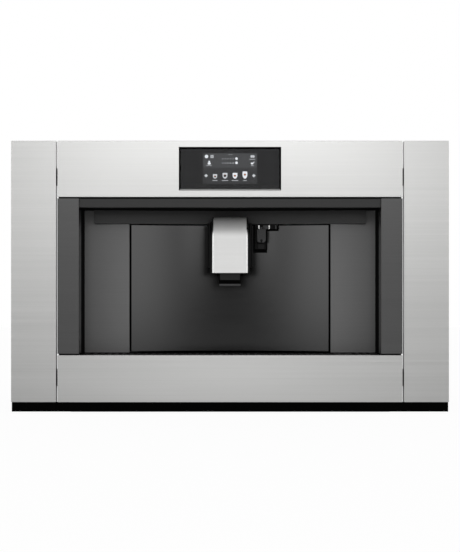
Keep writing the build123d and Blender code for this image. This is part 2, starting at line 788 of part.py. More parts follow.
# ---------------------------------------------------------------- brew unit
brew_plate = 2.0
brew_y0 = grounds_y1 + 10.0
brew_y1 = brew_y0 + 87.0
brew_floor_z = 108.0
brew_top_z = 300.0
chamber_y = brew_y0 + 33.0
chamber_radius, chamber_bore = 26.0, 20.8
chamber_z0, chamber_z1 = 130.0, 190.0
piston_radius = 20.3
piston_z0 = 200.0
screw_y = brew_y0 + 71.0
lead_radius, journal_radius = 4.0, 3.0
nut_half = 9.0


def brew_frame():
    """Side plates on the casing floor, two cross plates and the fixed upper piston."""
    inner = brew_x1 - brew_plate
    frame = block(-brew_x1, -inner, brew_y0, brew_y1, pan_top, brew_top_z)
    frame += mirrored(frame)
    frame += block(-inner, inner, brew_y0, brew_y1, brew_top_z - 3, brew_top_z)
    frame += block(-inner, inner, brew_y0, brew_y1, brew_floor_z, brew_floor_z + 3)
    frame += rod(0, chamber_y, piston_z0, brew_top_z - 3, piston_radius)
    frame -= rod(0, chamber_y, piston_z0 + 10, brew_top_z - 3, piston_radius - 4)
    for x in (-brew_x1, inner):
        frame -= block(x, x + brew_plate, brew_y0 + 20, brew_y1 - 20, 210, 270)
        frame -= block(x, x + brew_plate, brew_y0 + 20, brew_y1 - 20, 40, 95)
    frame -= rod(0, screw_y, brew_floor_z, brew_floor_z + 3, journal_radius + running_play)
    return frame - rod(0, screw_y, brew_top_z - 3, brew_top_z, journal_radius + running_play)


def brew_chamber():
    cup = rod(0, chamber_y, chamber_z0, chamber_z1, chamber_radius)
    cup += block(-nut_half, nut_half, chamber_y, screw_y + nut_half, chamber_z0 + 8, chamber_z0 + 34)
    wing = brew_x1 - brew_plate - clear
    cup += block(-wing, wing, chamber_y - 6, chamber_y + 6, chamber_z0 + 12, chamber_z0 + 24)
    cup -= rod(0, chamber_y, chamber_z0 + 5, chamber_z1, chamber_bore)
    return cup - rod(0, screw_y, chamber_z0, chamber_z1, lead_radius + 2 * running_play + gap)


def lead_screw():
    z0, z1 = brew_floor_z, brew_top_z
    screw = rod(0, screw_y, z0 + 3 + gap, z1 - 3 - gap, lead_radius)
    return screw + rod(0, screw_y, z0 - 3, z1 + 4, journal_radius)


def brew_motor():
    """The gearbox and motor on top of the brew frame."""
    box = block(-26, 26, brew_y1 - 44, brew_y1 + 6, brew_top_z, brew_top_z + 14)
    box -= rod(0, screw_y, brew_top_z, brew_top_z + 5, journal_radius + running_play)
    return box + rod(0, screw_y - 4, brew_top_z + 14, brew_top_z + 54, 17)


# ---------------------------------------------------------------- grinder and bean hopper
grinder_radius = 50.0
hopper_floor_z = case_height - 65.0
grinder_z1 = hopper_floor_z - 45.0
grinder_z0 = grinder_z1 - 80.0
throat_radius = 27.5
burr_radius = 22.0
cone_height = 30.0
throat_depth = 38.0
motor_radius, motor_height = 32.0, 80.0
motor_cap_radius, motor_cap = 14.0, 8.0
shaft_radius = 4.0
hopper_rim_z = cover_top_z + 2.0
lid_thickness = 2.5


def grinder_body():
    body = rod(hopper_x, hopper_y, grinder_z0, grinder_z1, grinder_radius)
    body -= rod(hopper_x, hopper_y, grinder_z1 - throat_depth, grinder_z1, throat_radius)
    body -= rod(hopper_x, hopper_y, grinder_z0, grinder_z1, shaft_radius + gap)
    arm_x1 = hopper_x - grinder_radius + 6
    body += block(-case_inner_x, arm_x1, hopper_y - 12, hopper_y + 12, grinder_z0 + 4, grinder_z1 - 4)
    duct_x0 = hopper_x + grinder_radius - 6
    duct = block(duct_x0, -brew_x1, hopper_y - 9, hopper_y + 9, grinder_z0 + 6, grinder_z0 + 26)
    return body + duct


def grinder_motor():
    z0 = grinder_z0 - motor_height
    can = rod(hopper_x, hopper_y, z0, grinder_z0, motor_radius)
    can -= rod(hopper_x, hopper_y, grinder_z0 - 14, grinder_z0, shaft_radius + gap)
    return can + rod(hopper_x, hopper_y, z0 - motor_cap, z0, motor_cap_radius)


def cone_burr():
    foot_z = grinder_z1 - throat_depth + 2
    shaft = rod(hopper_x, hopper_y, grinder_z0 - 12, foot_z, shaft_radius)
    cone = Pos(hopper_x, hopper_y, foot_z + cone_height / 2) * Cone(burr_radius, 9, cone_height)
    return shaft + cone


def funnel(width, length, radius, z0, z1):
    """A loft from a round throat up to a rounded rectangle."""
    foot = Plane(origin=(hopper_x, hopper_y, z0)) * Circle(radius)
    head = Plane(origin=(hopper_x, hopper_y, z1)) * RectangleRounded(width, length, 12)
    return loft([foot, head])


def bean_hopper():
    outer = funnel(hopper_width - 6, hopper_length - 6, throat_radius + 3, grinder_z1 + 8, hopper_floor_z)
    inner = funnel(hopper_width - 11, hopper_length - 11, throat_radius, grinder_z1 + 8, hopper_floor_z)
    hopper = outer - inner
    neck = rod(hopper_x, hopper_y, grinder_z1, grinder_z1 + 8, throat_radius + 3)
    hopper += neck - rod(hopper_x, hopper_y, grinder_z1, grinder_z1 + 8, throat_radius)
    base = Plane(origin=(hopper_x, hopper_y, hopper_floor_z))
    wall = RectangleRounded(hopper_width - 6, hopper_length - 6, 12)
    wall -= RectangleRounded(hopper_width - 11, hopper_length - 11, 10)
    rim = RectangleRounded(hopper_width - 0, hopper_length - 0, 14)
    rim -= RectangleRounded(hopper_width - 11, hopper_length - 11, 10)
    hopper += base * extrude(wall, hopper_rim_z - hopper_floor_z)
    return hopper + Pos(0, 0, hopper_rim_z - 4 - hopper_floor_z) * (base * extrude(rim, 4))


def hopper_lid():
    half_w, half_l = hopper_width / 2, hopper_length / 2
    z0 = hopper_rim_z + gap
    flat = Plane(origin=(hopper_x, hopper_y, z0)) * RectangleRounded(2 * half_w, 2 * half_l, 14)
    lid = extrude(flat, lid_thickness)
    barrel_half = ear_inner - clear
    x0, x1 = hopper_x - barrel_half, hopper_x + barrel_half
    lid += block(x0, x1, hopper_y + half_l - 10, ear_y, z0, z0 + lid_thickness)
    lid += rod_x(ear_y, ear_z, x0, x1, ear_radius - gap)
    front = hopper_y - half_l
    grip = block(hopper_x - 20, hopper_x + 20, front - 3, front + 8, z0, z0 + lid_thickness)
    return lid + grip - rod_x(ear_y, ear_z, x0, x1, lid_pin_radius + running_play)


def grind_knob():
    knob = rod(knob_x, knob_y, cover_top_z + gap, cover_top_z + 5, knob_radius)
    for i in range(12):
        turn = Pos(knob_x, knob_y, 0) * Rot(0, 0, i * 30) * Pos(knob_radius, 0, cover_top_z + 3)
        knob -= turn * Cylinder(1.2, 8)
    top = cover_top_z + 5
    knob += block(knob_x - 1, knob_x + 1, knob_y + 3, knob_y + knob_radius - 3, top, top + 0.8)
    knob += rod(knob_x, knob_y, case_height - 12, cover_top_z + gap, knob_stem_radius)
    return knob + rod(knob_x, knob_y, case_height - gap - 3, case_height - gap, knob_stem_radius + 3)


# ---------------------------------------------------------------- water tank
tank_wall = 2.5
dock_sheet = 5.0
fill_x0, fill_x1 = tank_x0 + 19.0, tank_x1 - 25.0
tank_middle_y = (tank_y0 + tank_y1) / 2
fill_y0, fill_y1 = tank_middle_y - 35.0, tank_middle_y + 35.0
flap_sheet = 2.0
flap_axis_x = fill_x0 - 7.0
flap_axis_z = tank_z1 + 3.0
flap_pin_radius = 1.2


def water_tank():
    w = tank_wall
    tank = rounded_block(tank_x0, tank_x1, tank_y0, tank_y1, tank_z0, tank_z1, tub_corner)
    water = (tank_x0 + w, tank_x1 - w, tank_y0 + w, tank_y1 - w, tank_z0 + w, tank_z1 - w)
    tank -= rounded_block(*water, tub_corner - w)
    tank -= block(fill_x0, fill_x1, fill_y0, fill_y1, tank_z1 - w, tank_z1)
    grip_z0, grip_z1 = tank_z1 - 60, tank_z1 - 30
    tank -= block(tank_x1 - 1.2, tank_x1, tank_middle_y - 30, tank_middle_y + 30, grip_z0, grip_z1)
    for y0, y1 in ((fill_y0 - 5, fill_y0), (fill_y1, fill_y1 + 5)):
        tank += block(flap_axis_x - 3, flap_axis_x + 3, y0, y1, tank_z1, flap_axis_z + 2.5)
    pin = Pos(flap_axis_x, (fill_y0 + fill_y1) / 2, flap_axis_z) * Rot(90, 0, 0)
    return tank + pin * Cylinder(flap_pin_radius, fill_y1 - fill_y0 + 2)


def tank_flap():
    y0, y1 = fill_y0 + gap, fill_y1 - gap
    z0 = tank_z1 + gap
    flap = block(flap_axis_x, fill_x1 + 4, y0, y1, z0, z0 + flap_sheet)
    barrel = Pos(flap_axis_x, (y0 + y1) / 2, flap_axis_z) * Rot(90, 0, 0)
    flap += barrel * Cylinder(2.6, y1 - y0)
    return flap - barrel * Cylinder(flap_pin_radius + running_play, y1 - y0)


def tank_dock():
    """The shelf that the tank slides on, with its back stop, valve and legs."""
    x0, x1 = tank_x0 - 13, case_inner_x
    z1 = tank_z0 - gap
    z0 = z1 - dock_sheet
    dock = block(x0, x1, tank_y0 - 5, tank_y1 + 5, z0, z1)
    dock += block(x0, tank_x0 - gap, tank_y0 - 5, tank_y1 + 5, z1, z1 + 50)
    dock += block(x0, x1, tank_y1 + 1, tank_y1 + 5, z1, z1 + 20)
    dock += block(x0, x1, tank_y0 - 5, tank_y0 - 1, z1, z1 + 20)
    for x in (x0 + 6, x1 - 6):
        for y in (tank_y0 + 25, tank_y1 - 5):
            dock += block(x - 6, x + 6, y - 6, y + 6, pan_top, z0)
    return dock + rod(x0 + 30, tank_middle_y, z0 - 12, z0, 8)


# ---------------------------------------------------------------- boilers, pump, electrics and pipes
boiler_foot = 10.0
boiler_nipple = 12.0
boiler_wall = 2.5
boiler_dome = 8.0
nipple_radius = 5.0
coffee_boiler_radius, coffee_boiler_height = 30.0, 100.0
coffee_boiler_at = (-brew_x1 - coffee_boiler_radius - 17.0, 110.0)
pump_x0, pump_x1 = 39.8 - case_inner_x, coffee_boiler_at[0] - coffee_boiler_radius - 15.0
pump_y, pump_z = 120.0, 52.0
board_z = liner_z1 + 13.3
board_y0, board_y1 = carrier_back_y + 9.0, ceiling_back_y - 10.0


def boiler(x, y, radius, height):
    """An upright hollow boiler with domed ends, a foot plate and an open nipple on top."""
    z0 = pan_top + boiler_foot
    top = z0 + height
    body = rod(x, y, z0, top, radius)
    body = fillet(body.edges().filter_by(GeomType.CIRCLE), boiler_dome)
    body += block(x - radius + 4, x + radius - 4, y - 10, y + 10, pan_top, z0 + 2)
    body += rod(x, y, top - 1, top + boiler_nipple, nipple_radius)
    water = rod(x, y, z0 + boiler_wall, top - boiler_wall, radius - boiler_wall)
    water = fillet(water.edges().filter_by(GeomType.CIRCLE), boiler_dome - boiler_wall)
    return body - water - rod(x, y, top - 2 * boiler_wall, top + boiler_nipple, hose_radius)


def coffee_boiler():
    return boiler(*coffee_boiler_at, coffee_boiler_radius, coffee_boiler_height)


def steam_boiler():
    return boiler(*steam_boiler_at, steam_boiler_radius, steam_boiler_height)


def water_pump():
    body = block(pump_x0 + 14, pump_x1 - 18, pump_y - 22, pump_y + 22, pump_z - 22, pump_z + 22)
    body += rod_x(pump_y, pump_z, pump_x0, pump_x1, 14)
    body += rod_x(pump_y, pump_z, pump_x0 - 8, pump_x1 + 8, 5)
    return body + block(pump_x0 + 10, pump_x1 - 14, pump_y - 18, pump_y + 18, pan_top, pump_z - 20)


def power_board():
    """The control board above the niche, on pillars off the niche ceiling."""
    y0, y1 = board_y0, board_y1
    board = block(-110, 110, y0, y1, board_z, board_z + 1.6)
    for x in (-102, 102):
        for y in (y0 + 8, y1 - 8):
            board += rod(x, y, liner_z1, board_z, 3)
    board += block(-96, -50, y0 + 8, y0 + 48, board_z + 1, board_z + 34)
    board += block(-40, 0, y0 + 10, y0 + 40, board_z + 1, board_z + 20)
    board += block(10, 84, y0 + 18, y0 + 33, board_z + 1, board_z + 28)
    for x in (-80, -60, -38, -16):
        board += rod(x, y1 - 23, board_z + 1, board_z + 26, 8)
    return board + block(15, 90, y1 - 38, y1 - 18, board_z + 1, board_z + 10)


rocker_half_x, rocker_half_z = 6.0, 9.0
rocker_y = rear_y - 5.4
rocker_pin, rocker_pin_radius = 2.0, 1.2


def mains_inlet():
    """The inlet plate at the rear, with its socket and the switch housing."""
    y0 = rear_panel_y - 32
    z0, z1 = inlet_z - inlet_plate_half, inlet_z + inlet_plate_half
    plate = block(inlet_plate_x0, inlet_plate_x1, rear_panel_y, rear_panel_y + 1.6, z0, z1)
    body = block(inlet_plate_x0 + 3, inlet_plate_x1 - 3, y0, rear_panel_y, z0 + 3, z1 - 3)
    inlet = plate + body
    half_w, half_h = inlet_width / 2, inlet_height / 2
    y1 = rear_panel_y + 1.6
    inlet -= block(inlet_x - half_w, inlet_x + half_w, y0 + 8, y1, inlet_z - half_h, inlet_z + half_h)
    for x, z in ((inlet_x - 7, inlet_z - 3), (inlet_x + 7, inlet_z - 3), (inlet_x, inlet_z + 4)):
        inlet += block(x - 1, x + 1, y0 + 6, y1 - 6, z - 2.5, z + 2.5)
    half_x, half_z = rocker_half_x + gap, rocker_half_z + 2
    x0, x1 = switch_x - half_x, switch_x + half_x
    inlet -= block(x0, x1, y0 + 10, y1, inlet_z - half_z, inlet_z + half_z)
    pin_x0, pin_x1 = switch_x - rocker_half_x - rocker_pin, switch_x + rocker_half_x + rocker_pin
    return inlet - rod_x(rocker_y, inlet_z, pin_x0, pin_x1, rocker_pin_radius + running_play)


def power_switch():
    rocker = Box(2 * rocker_half_x, 8, 2 * rocker_half_z)
    pin_half = rocker_half_x + rocker_pin - gap
    pin = rod_x(rocker_y, inlet_z, switch_x - pin_half, switch_x + pin_half, rocker_pin_radius)
    return Pos(switch_x, rocker_y, inlet_z) * Rot(8, 0, 0) * rocker + pin


def water_hoses():
    """Pipes from the tank to the pump, the boilers, the brew head and the steam connection."""
    cx, cy = coffee_boiler_at
    sx, sy = steam_boiler_at
    boiler_z = pan_top + boiler_foot
    dock_x = tank_x0 + 17
    dock_z = tank_z0 - gap - dock_sheet - 12
    pump_out = pump_x1 + 8
    low = pan_top + 14
    turn_x = pump_x0 - 28
    dock_y, rear = tank_middle_y, rear_inner_y - 13.8
    suction = [(dock_x, dock_y, dock_z), (dock_x, dock_y, low), (dock_x, rear, low), (turn_x, rear, low)]
    suction += [(turn_x, pump_y, low), (turn_x, pump_y, pump_z), (pump_x0 - 8, pump_y, pump_z)]
    feed = rod_x(pump_y, pump_z, pump_out, cx - coffee_boiler_radius, hose_radius)
    brew_feed = [(cx, cy, boiler_z + coffee_boiler_height + boiler_nipple), (cx, cy, 226)]
    brew_feed += [(-82, cy + 35, 226), (-82, cy + 35, 318), (-82, chamber_y, 318)]
    brew_feed += [(0, chamber_y, 318), (0, chamber_y, brew_top_z)]
    branch_y0, branch_y1 = cy + coffee_boiler_radius, sy + steam_boiler_radius
    branch = [(cx, branch_y0, 60), (cx, rear - 12, 60), (sx, rear - 12, 60), (sx, branch_y1, 60)]
    steam_x, steam_y = notch_arm_x1 - 10, connector_front_y + 14
    steam = [(sx, sy, boiler_z + steam_boiler_height + boiler_nipple), (sx, sy, 345)]
    steam += [(sx, steam_y, 345), (steam_x, steam_y, 345), (steam_x, steam_y, hood_z0)]
    runs = (suction, brew_feed, branch, steam)
    pipes = [tube(run, hose_radius, hose_bend) for run in runs]
    return [*pipes, feed]


# ---------------------------------------------------------------- the nodes
def main():
    os.makedirs("parts", exist_ok=True)
    outer, middle, inner = runners()
    write("mounting_base", mounting_base())
    write("outer_rails", outer, mirrored(outer))
    write("middle_rails", middle, mirrored(middle))
    write("inner_rails", inner, mirrored(inner))

    write("floor_pan", floor_pan())
    write("side_panel_left", side_panel_left())
    write("side_panel_right", side_panel_right())
    write("rear_panel", rear_panel())
    write("case_screws", *case_screws())
    write("top_cover", top_cover())
    write("front_carrier", front_carrier())
    write("trim_brackets", *trim_brackets())
    write("side_trim_left", mirrored(side_trim()))
    write("side_trim_right", side_trim())
    write("base_strip", base_strip())
    write("control_panel", control_panel())
    write("display_glass", display_glass())
    write("display_module", display_module())

    write("niche_column_left", mirrored(niche_column()))
    write("niche_column_right", niche_column())
    write("niche_top_bar", niche_top_bar())
    write("niche_liner", niche_liner())
    write("niche_back_left", mirrored(niche_back()))
    write("niche_back_right", niche_back())
    write("lamp_hood", lamp_hood())
    write("cup_lamps", *cup_lamps())

    write("service_door", service_door())
    write("door_skin", door_skin())
    write("spout_guide", spout_guide())
    write("door_hinge_brackets", *door_hinge_brackets())
    write("steam_connector", steam_connector())
    write("hot_water_spout", hot_water_spout())
    write("spout_cover", spout_cover())
    write("spout_carriage", spout_carriage())
    write("coffee_outlet", coffee_outlet())

    write("drawer_front", drawer_front())
    write("drip_tray", drip_tray())
    write("cup_grid", cup_grid())
    write("float", float_marker())
    write("grounds_container", grounds_container())

    write("brew_frame", brew_frame())
    write("brew_chamber", brew_chamber())
    write("lead_screw", lead_screw())
    write("brew_motor", brew_motor())
    write("grinder_body", grinder_body())
    write("grinder_motor", grinder_motor())
    write("cone_burr", cone_burr())
    write("bean_hopper", bean_hopper())
    write("hopper_lid", hopper_lid())
    write("grind_knob", grind_knob())

    write("water_tank", water_tank())
    write("tank_flap", tank_flap())
    write("tank_dock", tank_dock())
    write("coffee_boiler", coffee_boiler())
    write("steam_boiler", steam_boiler())
    write("water_pump", water_pump())
    write("water_hoses", *water_hoses())
    write("power_board", power_board())
    write("mains_inlet", mains_inlet())
    write("power_switch", power_switch())


main()
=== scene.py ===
"""The built-in coffee machine, dressed: materials, the lit display, fittings, camera and studio.

Lengths on the machine are in millimetres, which MM turns into Blender's metres. Studio lengths are in metres.
"""

import math

import bmesh
import bpy
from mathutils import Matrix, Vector


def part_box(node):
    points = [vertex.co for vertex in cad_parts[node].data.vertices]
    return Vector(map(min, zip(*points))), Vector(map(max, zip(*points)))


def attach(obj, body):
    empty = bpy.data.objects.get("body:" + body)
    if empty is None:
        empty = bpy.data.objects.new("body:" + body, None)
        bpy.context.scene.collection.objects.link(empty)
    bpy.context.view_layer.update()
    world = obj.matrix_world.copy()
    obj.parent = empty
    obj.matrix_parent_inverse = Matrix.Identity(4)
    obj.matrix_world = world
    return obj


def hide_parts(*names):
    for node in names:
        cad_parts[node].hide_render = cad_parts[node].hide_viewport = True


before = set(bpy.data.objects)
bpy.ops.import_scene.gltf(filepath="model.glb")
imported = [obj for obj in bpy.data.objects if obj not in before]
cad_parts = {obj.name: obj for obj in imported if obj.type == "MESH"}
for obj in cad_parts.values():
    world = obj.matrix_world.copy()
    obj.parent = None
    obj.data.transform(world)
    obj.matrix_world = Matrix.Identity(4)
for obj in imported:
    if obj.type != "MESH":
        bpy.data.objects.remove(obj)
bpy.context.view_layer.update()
MM = 0.001
FRONT = -199.0  # y of the steel fronts' outer face


# ---------------------------------------------------------------- colours and nodes
NOISE_SPAN = (0.3, 0.7)  # where nearly all of a noise node's values lie
EVEN = (1, 1, 1)  # a noise that isn't stretched
MIX_A, MIX_B, MIX_RESULT = 6, 7, 2  # a Mix node's colour sockets, which share their names with its other kinds


def linear(hex_colour):
    """An sRGB hex colour as the linear RGBA that a shader socket takes."""
    channels = [int(hex_colour[i : i + 2], 16) / 255 for i in (1, 3, 5)]
    return [c / 12.92 if c <= 0.04045 else ((c + 0.055) / 1.055) ** 2.4 for c in channels] + [1.0]


def grey(level):
    """A linear grey."""
    return [level, level, level, 1.0]


def add(tree, kind, links=(), **settings):
    """Adds a node. links pairs its inputs with the sockets that feed them. settings are its own properties,
    besides values, which are its inputs' numbers by name, and stops, which are its ramp's two ends."""
    made = tree.nodes.new(kind)
    for key, value in settings.items():
        if key == "values":
            for socket, number in value.items():
                made.inputs[socket].default_value = number
        elif key == "stops":
            for element, (place, colour) in zip(made.color_ramp.elements, value):
                element.position = place
                element.color = colour
        else:
            setattr(made, key, value)
    for socket, source in links:
        tree.links.new(source, made.inputs[socket])
    return made


def maths(tree, operation, *terms):
    """A calculation on one or two terms, each a socket or a plain number."""
    node = add(tree, "ShaderNodeMath", operation=operation)
    for socket, term in zip(node.inputs, terms):
        if isinstance(term, float):
            socket.default_value = term
        else:
            tree.links.new(term, socket)
    return node.outputs["Value"]


def ranged(tree, source, start, end, low=0.0, high=1.0, **settings):
    """Spreads the part of a number from start to end over low to high."""
    values = {"From Min": start, "From Max": end, "To Min": low, "To Max": high}
    return add(tree, "ShaderNodeMapRange", [("Value", source)], values=values, **settings).outputs["Result"]


def mix_colour(tree, factor, low, high):
    """A colour between two, each a socket or a plain colour."""
    mixed = add(tree, "ShaderNodeMix", [(0, factor)], data_type="RGBA")
    for place, value in ((MIX_A, low), (MIX_B, high)):
        if isinstance(value, list):
            mixed.inputs[place].default_value = value
        else:
            tree.links.new(value, mixed.inputs[place])
    return mixed.outputs[MIX_RESULT]


def ramped(tree, source, dark, light):
    """Spreads a noise between two linear colours."""
    stops = list(zip(NOISE_SPAN, (dark, light)))
    return add(tree, "ShaderNodeValToRGB", [("Fac", source)], stops=stops).outputs["Color"]


def new_material(name, **surface):
    """A material with one principled surface; surface holds its socket values by name."""
    material = bpy.data.materials.new(name)
    material.use_nodes = True
    tree = material.node_tree
    shader = tree.nodes["Principled BSDF"]
    for socket, value in surface.items():
        shader.inputs[socket.replace("_", " ")].default_value = value
    return material, tree, shader


def surface_noise(tree, stretch, scale, detail=3.0):
    """Noise in the machine's own metres; a larger number in stretch makes it finer along that axis."""
    place = add(tree, "ShaderNodeTexCoord").outputs["Object"]
    mapped = add(tree, "ShaderNodeMapping", [("Vector", place)], values={"Scale": stretch}).outputs["Vector"]
    values = {"Scale": scale, "Detail": detail, "Roughness": 0.55}
    return add(tree, "ShaderNodeTexNoise", [("Vector", mapped)], values=values).outputs["Fac"]


def between(tree, shader, socket, source, low, high):
    """Spreads a noise between two values on a number socket of the surface."""
    tree.links.new(ranged(tree, source, *NOISE_SPAN, low, high), shader.inputs[socket])


def tinted(tree, shader, source, dark, light):
    """Spreads a noise between two hex colours on the surface."""
    tree.links.new(ramped(tree, source, linear(dark), linear(light)), shader.inputs["Base Color"])


def bumped(tree, shader, source, height_mm):
    """Raises the surface by a noise, in real millimetres."""
    values = {"Strength": 1.0, "Distance": height_mm * MM}
    bump = add(tree, "ShaderNodeBump", [("Height", source)], values=values)
    tree.links.new(bump.outputs["Normal"], shader.inputs["Normal"])


def varied(name, noise, dark, light, rough, height_mm, **surface):
    """A material whose colour, roughness and height all follow one noise, given as its stretch and scale."""
    material, tree, shader = new_material(name, **surface)
    source = surface_noise(tree, *noise)
    tinted(tree, shader, source, dark, light)
    between(tree, shader, "Roughness", source, *rough)
    bumped(tree, shader, source, height_mm)
    return material


# ---------------------------------------------------------------- materials
SCRATCHES = {"X": (4, 300, 1000), "Z": (1000, 300, 4)}  # finenesses of a brushing that runs along an axis
ZINC_CRYSTAL_MM = 7
DOT_MM = 0.25  # spacing of the screen's dots
DOT_DIP = 0.96  # light between the dots, as a share of theirs
SCREEN_POWER = 3.8


def brushed_stainless(name, along, dark, light, rough=(0.27, 0.36), metallic=1.0):
    """Stainless sheet, belt-brushed: fine parallel scratches that spread a highlight across them.
    Real scratches are about 0.1 mm apart; here they are 1 mm, the finest that the render can show."""
    material, tree, shader = new_material(name, Metallic=metallic)
    scratch = SCRATCHES[along]
    fine = surface_noise(tree, scratch, 1.0, detail=2.0)
    broad = surface_noise(tree, [fineness / 6 for fineness in scratch], 1.0, detail=4.0)
    mean = maths(tree, "MULTIPLY", maths(tree, "ADD", fine, broad), 0.5)
    tinted(tree, shader, mean, dark, light)
    between(tree, shader, "Roughness", mean, *rough)
    bumped(tree, shader, fine, 0.01)
    return material


def graphite_steel(name, dark, light, metallic=1.0, rough=(0.3, 0.4)):
    """Steel sheet with a dark graphite coat, brushed under it: satin, faintly streaked from side to side."""
    return varied(name, ((5, 400, 1400), 1.0), dark, light, rough, 0.004, Metallic=metallic)


def powder_coat(name, dark, light, gloss):
    """Sheet steel, powder coated: a fine orange peel under a satin black."""
    return varied(name, (EVEN, 600.0), dark, light, (0.42, 0.55), 0.03, Specular_IOR_Level=gloss)


def grained(name, dark, light, rough=(0.4, 0.5), grain_height=0.02, gloss=0.5):
    """Plastic or rubber, injection moulded against an etched steel tool, or extruded: even colour with a
    leathery grain 0.9 mm wide. The grain is lower where the tool is polished and on an extrusion."""
    return varied(name, (EVEN, 1 / (0.9 * MM)), dark, light, rough, grain_height, Specular_IOR_Level=gloss)


def turned_metal(name, dark, light):
    """Metal turned on a lathe: fine rings round an upright axis."""
    return varied(name, ((8, 8, 900), 1.0), dark, light, (0.2, 0.34), 0.01, Metallic=1.0)


def galvanised_sheet(name, dark, light):
    """Steel sheet, zinc coated in a hot bath: flat crystals a few millimetres wide, each a different grey."""
    material, tree, shader = new_material(name, Metallic=0.9)
    place = add(tree, "ShaderNodeTexCoord").outputs["Object"]
    values = {"Scale": 1 / (ZINC_CRYSTAL_MM * MM)}
    crystals = add(tree, "ShaderNodeTexVoronoi", [("Vector", place)], values=values).outputs["Color"]
    shade = add(tree, "ShaderNodeSeparateColor", [("Color", crystals)]).outputs
    tinted(tree, shader, shade["Red"], dark, light)
    between(tree, shader, "Roughness", shade["Green"], 0.38, 0.52)
    bumped(tree, shader, surface_noise(tree, EVEN, 60.0), 0.05)
    return material


def cast_aluminium(name, dark, light):
    """Aluminium, die cast: dull, slightly pebbled, with darker flow marks."""
    material, tree, shader = new_material(name, Metallic=0.9)
    flow = surface_noise(tree, (1, 1, 2), 90.0, detail=6.0)
    tinted(tree, shader, flow, dark, light)
    between(tree, shader, "Roughness", flow, 0.42, 0.6)
    bumped(tree, shader, surface_noise(tree, EVEN, 900.0), 0.04)
    return material


def clear_solid(name, hex_colour, rough=0.06):
    """SAN or polycarbonate, injection moulded and polished, or float glass: clear with a faint tint and slow
    flow waves. Glass has no roughness at all."""
    surface = {"IOR": 1.5, "Transmission_Weight": 1.0, "Base_Color": linear(hex_colour), "Roughness": rough}
    material, tree, shader = new_material(name, **surface)
    waves = surface_noise(tree, EVEN, 40.0)
    if rough:
        between(tree, shader, "Roughness", waves, rough * 0.6, rough * 1.6)
    bumped(tree, shader, waves, 0.02)
    return material


def screen_light(name, level, tint="#FFFFFF"):
    """Light from a liquid-crystal screen, the same all over a symbol, with the screen's faint grid of dots."""
    surface = {"Base_Color": grey(0.01), "Roughness": 0.4, "Specular_IOR_Level": 0.0}
    material, tree, shader = new_material(name, **surface, Emission_Strength=SCREEN_POWER)
    full = [level * channel for channel in linear(tint)[:3]]
    dim = [DOT_DIP * channel for channel in full]
    dots = ramped(tree, surface_noise(tree, EVEN, 1 / (DOT_MM * MM)), dim + [1.0], full + [1.0])
    tree.links.new(dots, shader.inputs["Emission Color"])
    return material


steel_fascia = brushed_stainless("stainless_sheet_brushed_along", "X", "#AFAFAE", "#B7B7B6")
steel_spout = brushed_stainless(
    "stainless_sheet_brushed_spout", "X", "#D4D4D3", "#DBDBDA", rough=(0.45, 0.55), metallic=0.35
)
steel_folds = brushed_stainless("stainless_sheet_polished_folds", "Z", "#C2C2C1", "#CBCBCA", rough=(0.24, 0.3))
graphite_column = graphite_steel("steel_graphite_coated_columns", "#4A4A4A", "#4E4E4E")
graphite_back = graphite_steel(
    "steel_graphite_coated_back", "#5C5C5C", "#616161", metallic=0.55, rough=(0.38, 0.48)
)
graphite_door = graphite_steel("steel_graphite_coated_door", "#353535", "#373737", rough=(0.15, 0.2))
black_powder = powder_coat("steel_powder_coated_black", "#0E0E0E", "#131313", gloss=0.1)
black_strip = powder_coat("steel_powder_coated_matt_black", "#050505", "#070707", gloss=0.0)
black_liner = grained(
    "abs_moulded_liner_black", "#161616", "#1A1A1A", rough=(0.3, 0.4), grain_height=0.006, gloss=0.0
)
black_gloss = grained("abs_polished_black", "#0B0B0B", "#101010", rough=(0.12, 0.2), grain_height=0.004)
bar_plastic = grained("abs_satin_bar", "#2A2A2A", "#2E2E2E", rough=(0.3, 0.4), grain_height=0.006, gloss=0.2)
hood_plastic = grained("abs_satin_hood", "#393939", "#3D3D3D", rough=(0.35, 0.45), grain_height=0.01, gloss=0.2)
spout_plastic = grained("abs_moulded_spout_black", "#090909", "#0C0C0C", gloss=0.08)
outlet_plastic = grained("abs_moulded_outlet_dark", "#1D1D1D", "#212121", gloss=0.1)
black_plastic = grained("abs_moulded_black", "#121212", "#181818", gloss=0.3)
grey_plastic = grained("abs_moulded_grey", "#343435", "#3A3A3B", rough=(0.35, 0.45), gloss=0.3)
zinc_sheet = galvanised_sheet("steel_sheet_galvanised", "#939799", "#A3A7A8")
zinc_plate = galvanised_sheet("steel_zinc_plated_rails", "#A5A9AB", "#B6BABC")
cast_metal = cast_aluminium("aluminium_die_cast", "#8E8E8C", "#A5A5A2")
brass = turned_metal("brass_turned", "#B08A48", "#C29C58")
nickel = turned_metal("brass_nickel_plated", "#B4B4B2", "#C4C4C2")
steel_turned = turned_metal("steel_turned", "#A8A8A8", "#BDBDBD")
clear_tank = clear_solid("san_clear_tank", "#E6EEF0")
tinted_hopper = clear_solid("san_smoked_hopper", "#8C7C72")
silicone = grained("silicone_extruded_pipe", "#BEBEB8", "#CDCDC7", grain_height=0.005)
nylon = grained("nylon_moulded_natural", "#B9B8B0", "#C6C5BD")
board_green = grained("glass_epoxy_board_green", "#0E3B24", "#15492E", rough=(0.3, 0.4), grain_height=0.01)
rubber = grained("epdm_extruded_seal", "#070707", "#0A0A0A", rough=(0.6, 0.7), grain_height=0.01, gloss=0.0)
float_red = grained("abs_moulded_red", "#8E1B16", "#A3231D")
lens = clear_solid("polycarbonate_frosted_lens", "#E8E6DE", rough=0.45)
smoked_glass = clear_solid("glass_float_smoked", "#8E9093", rough=0.0)

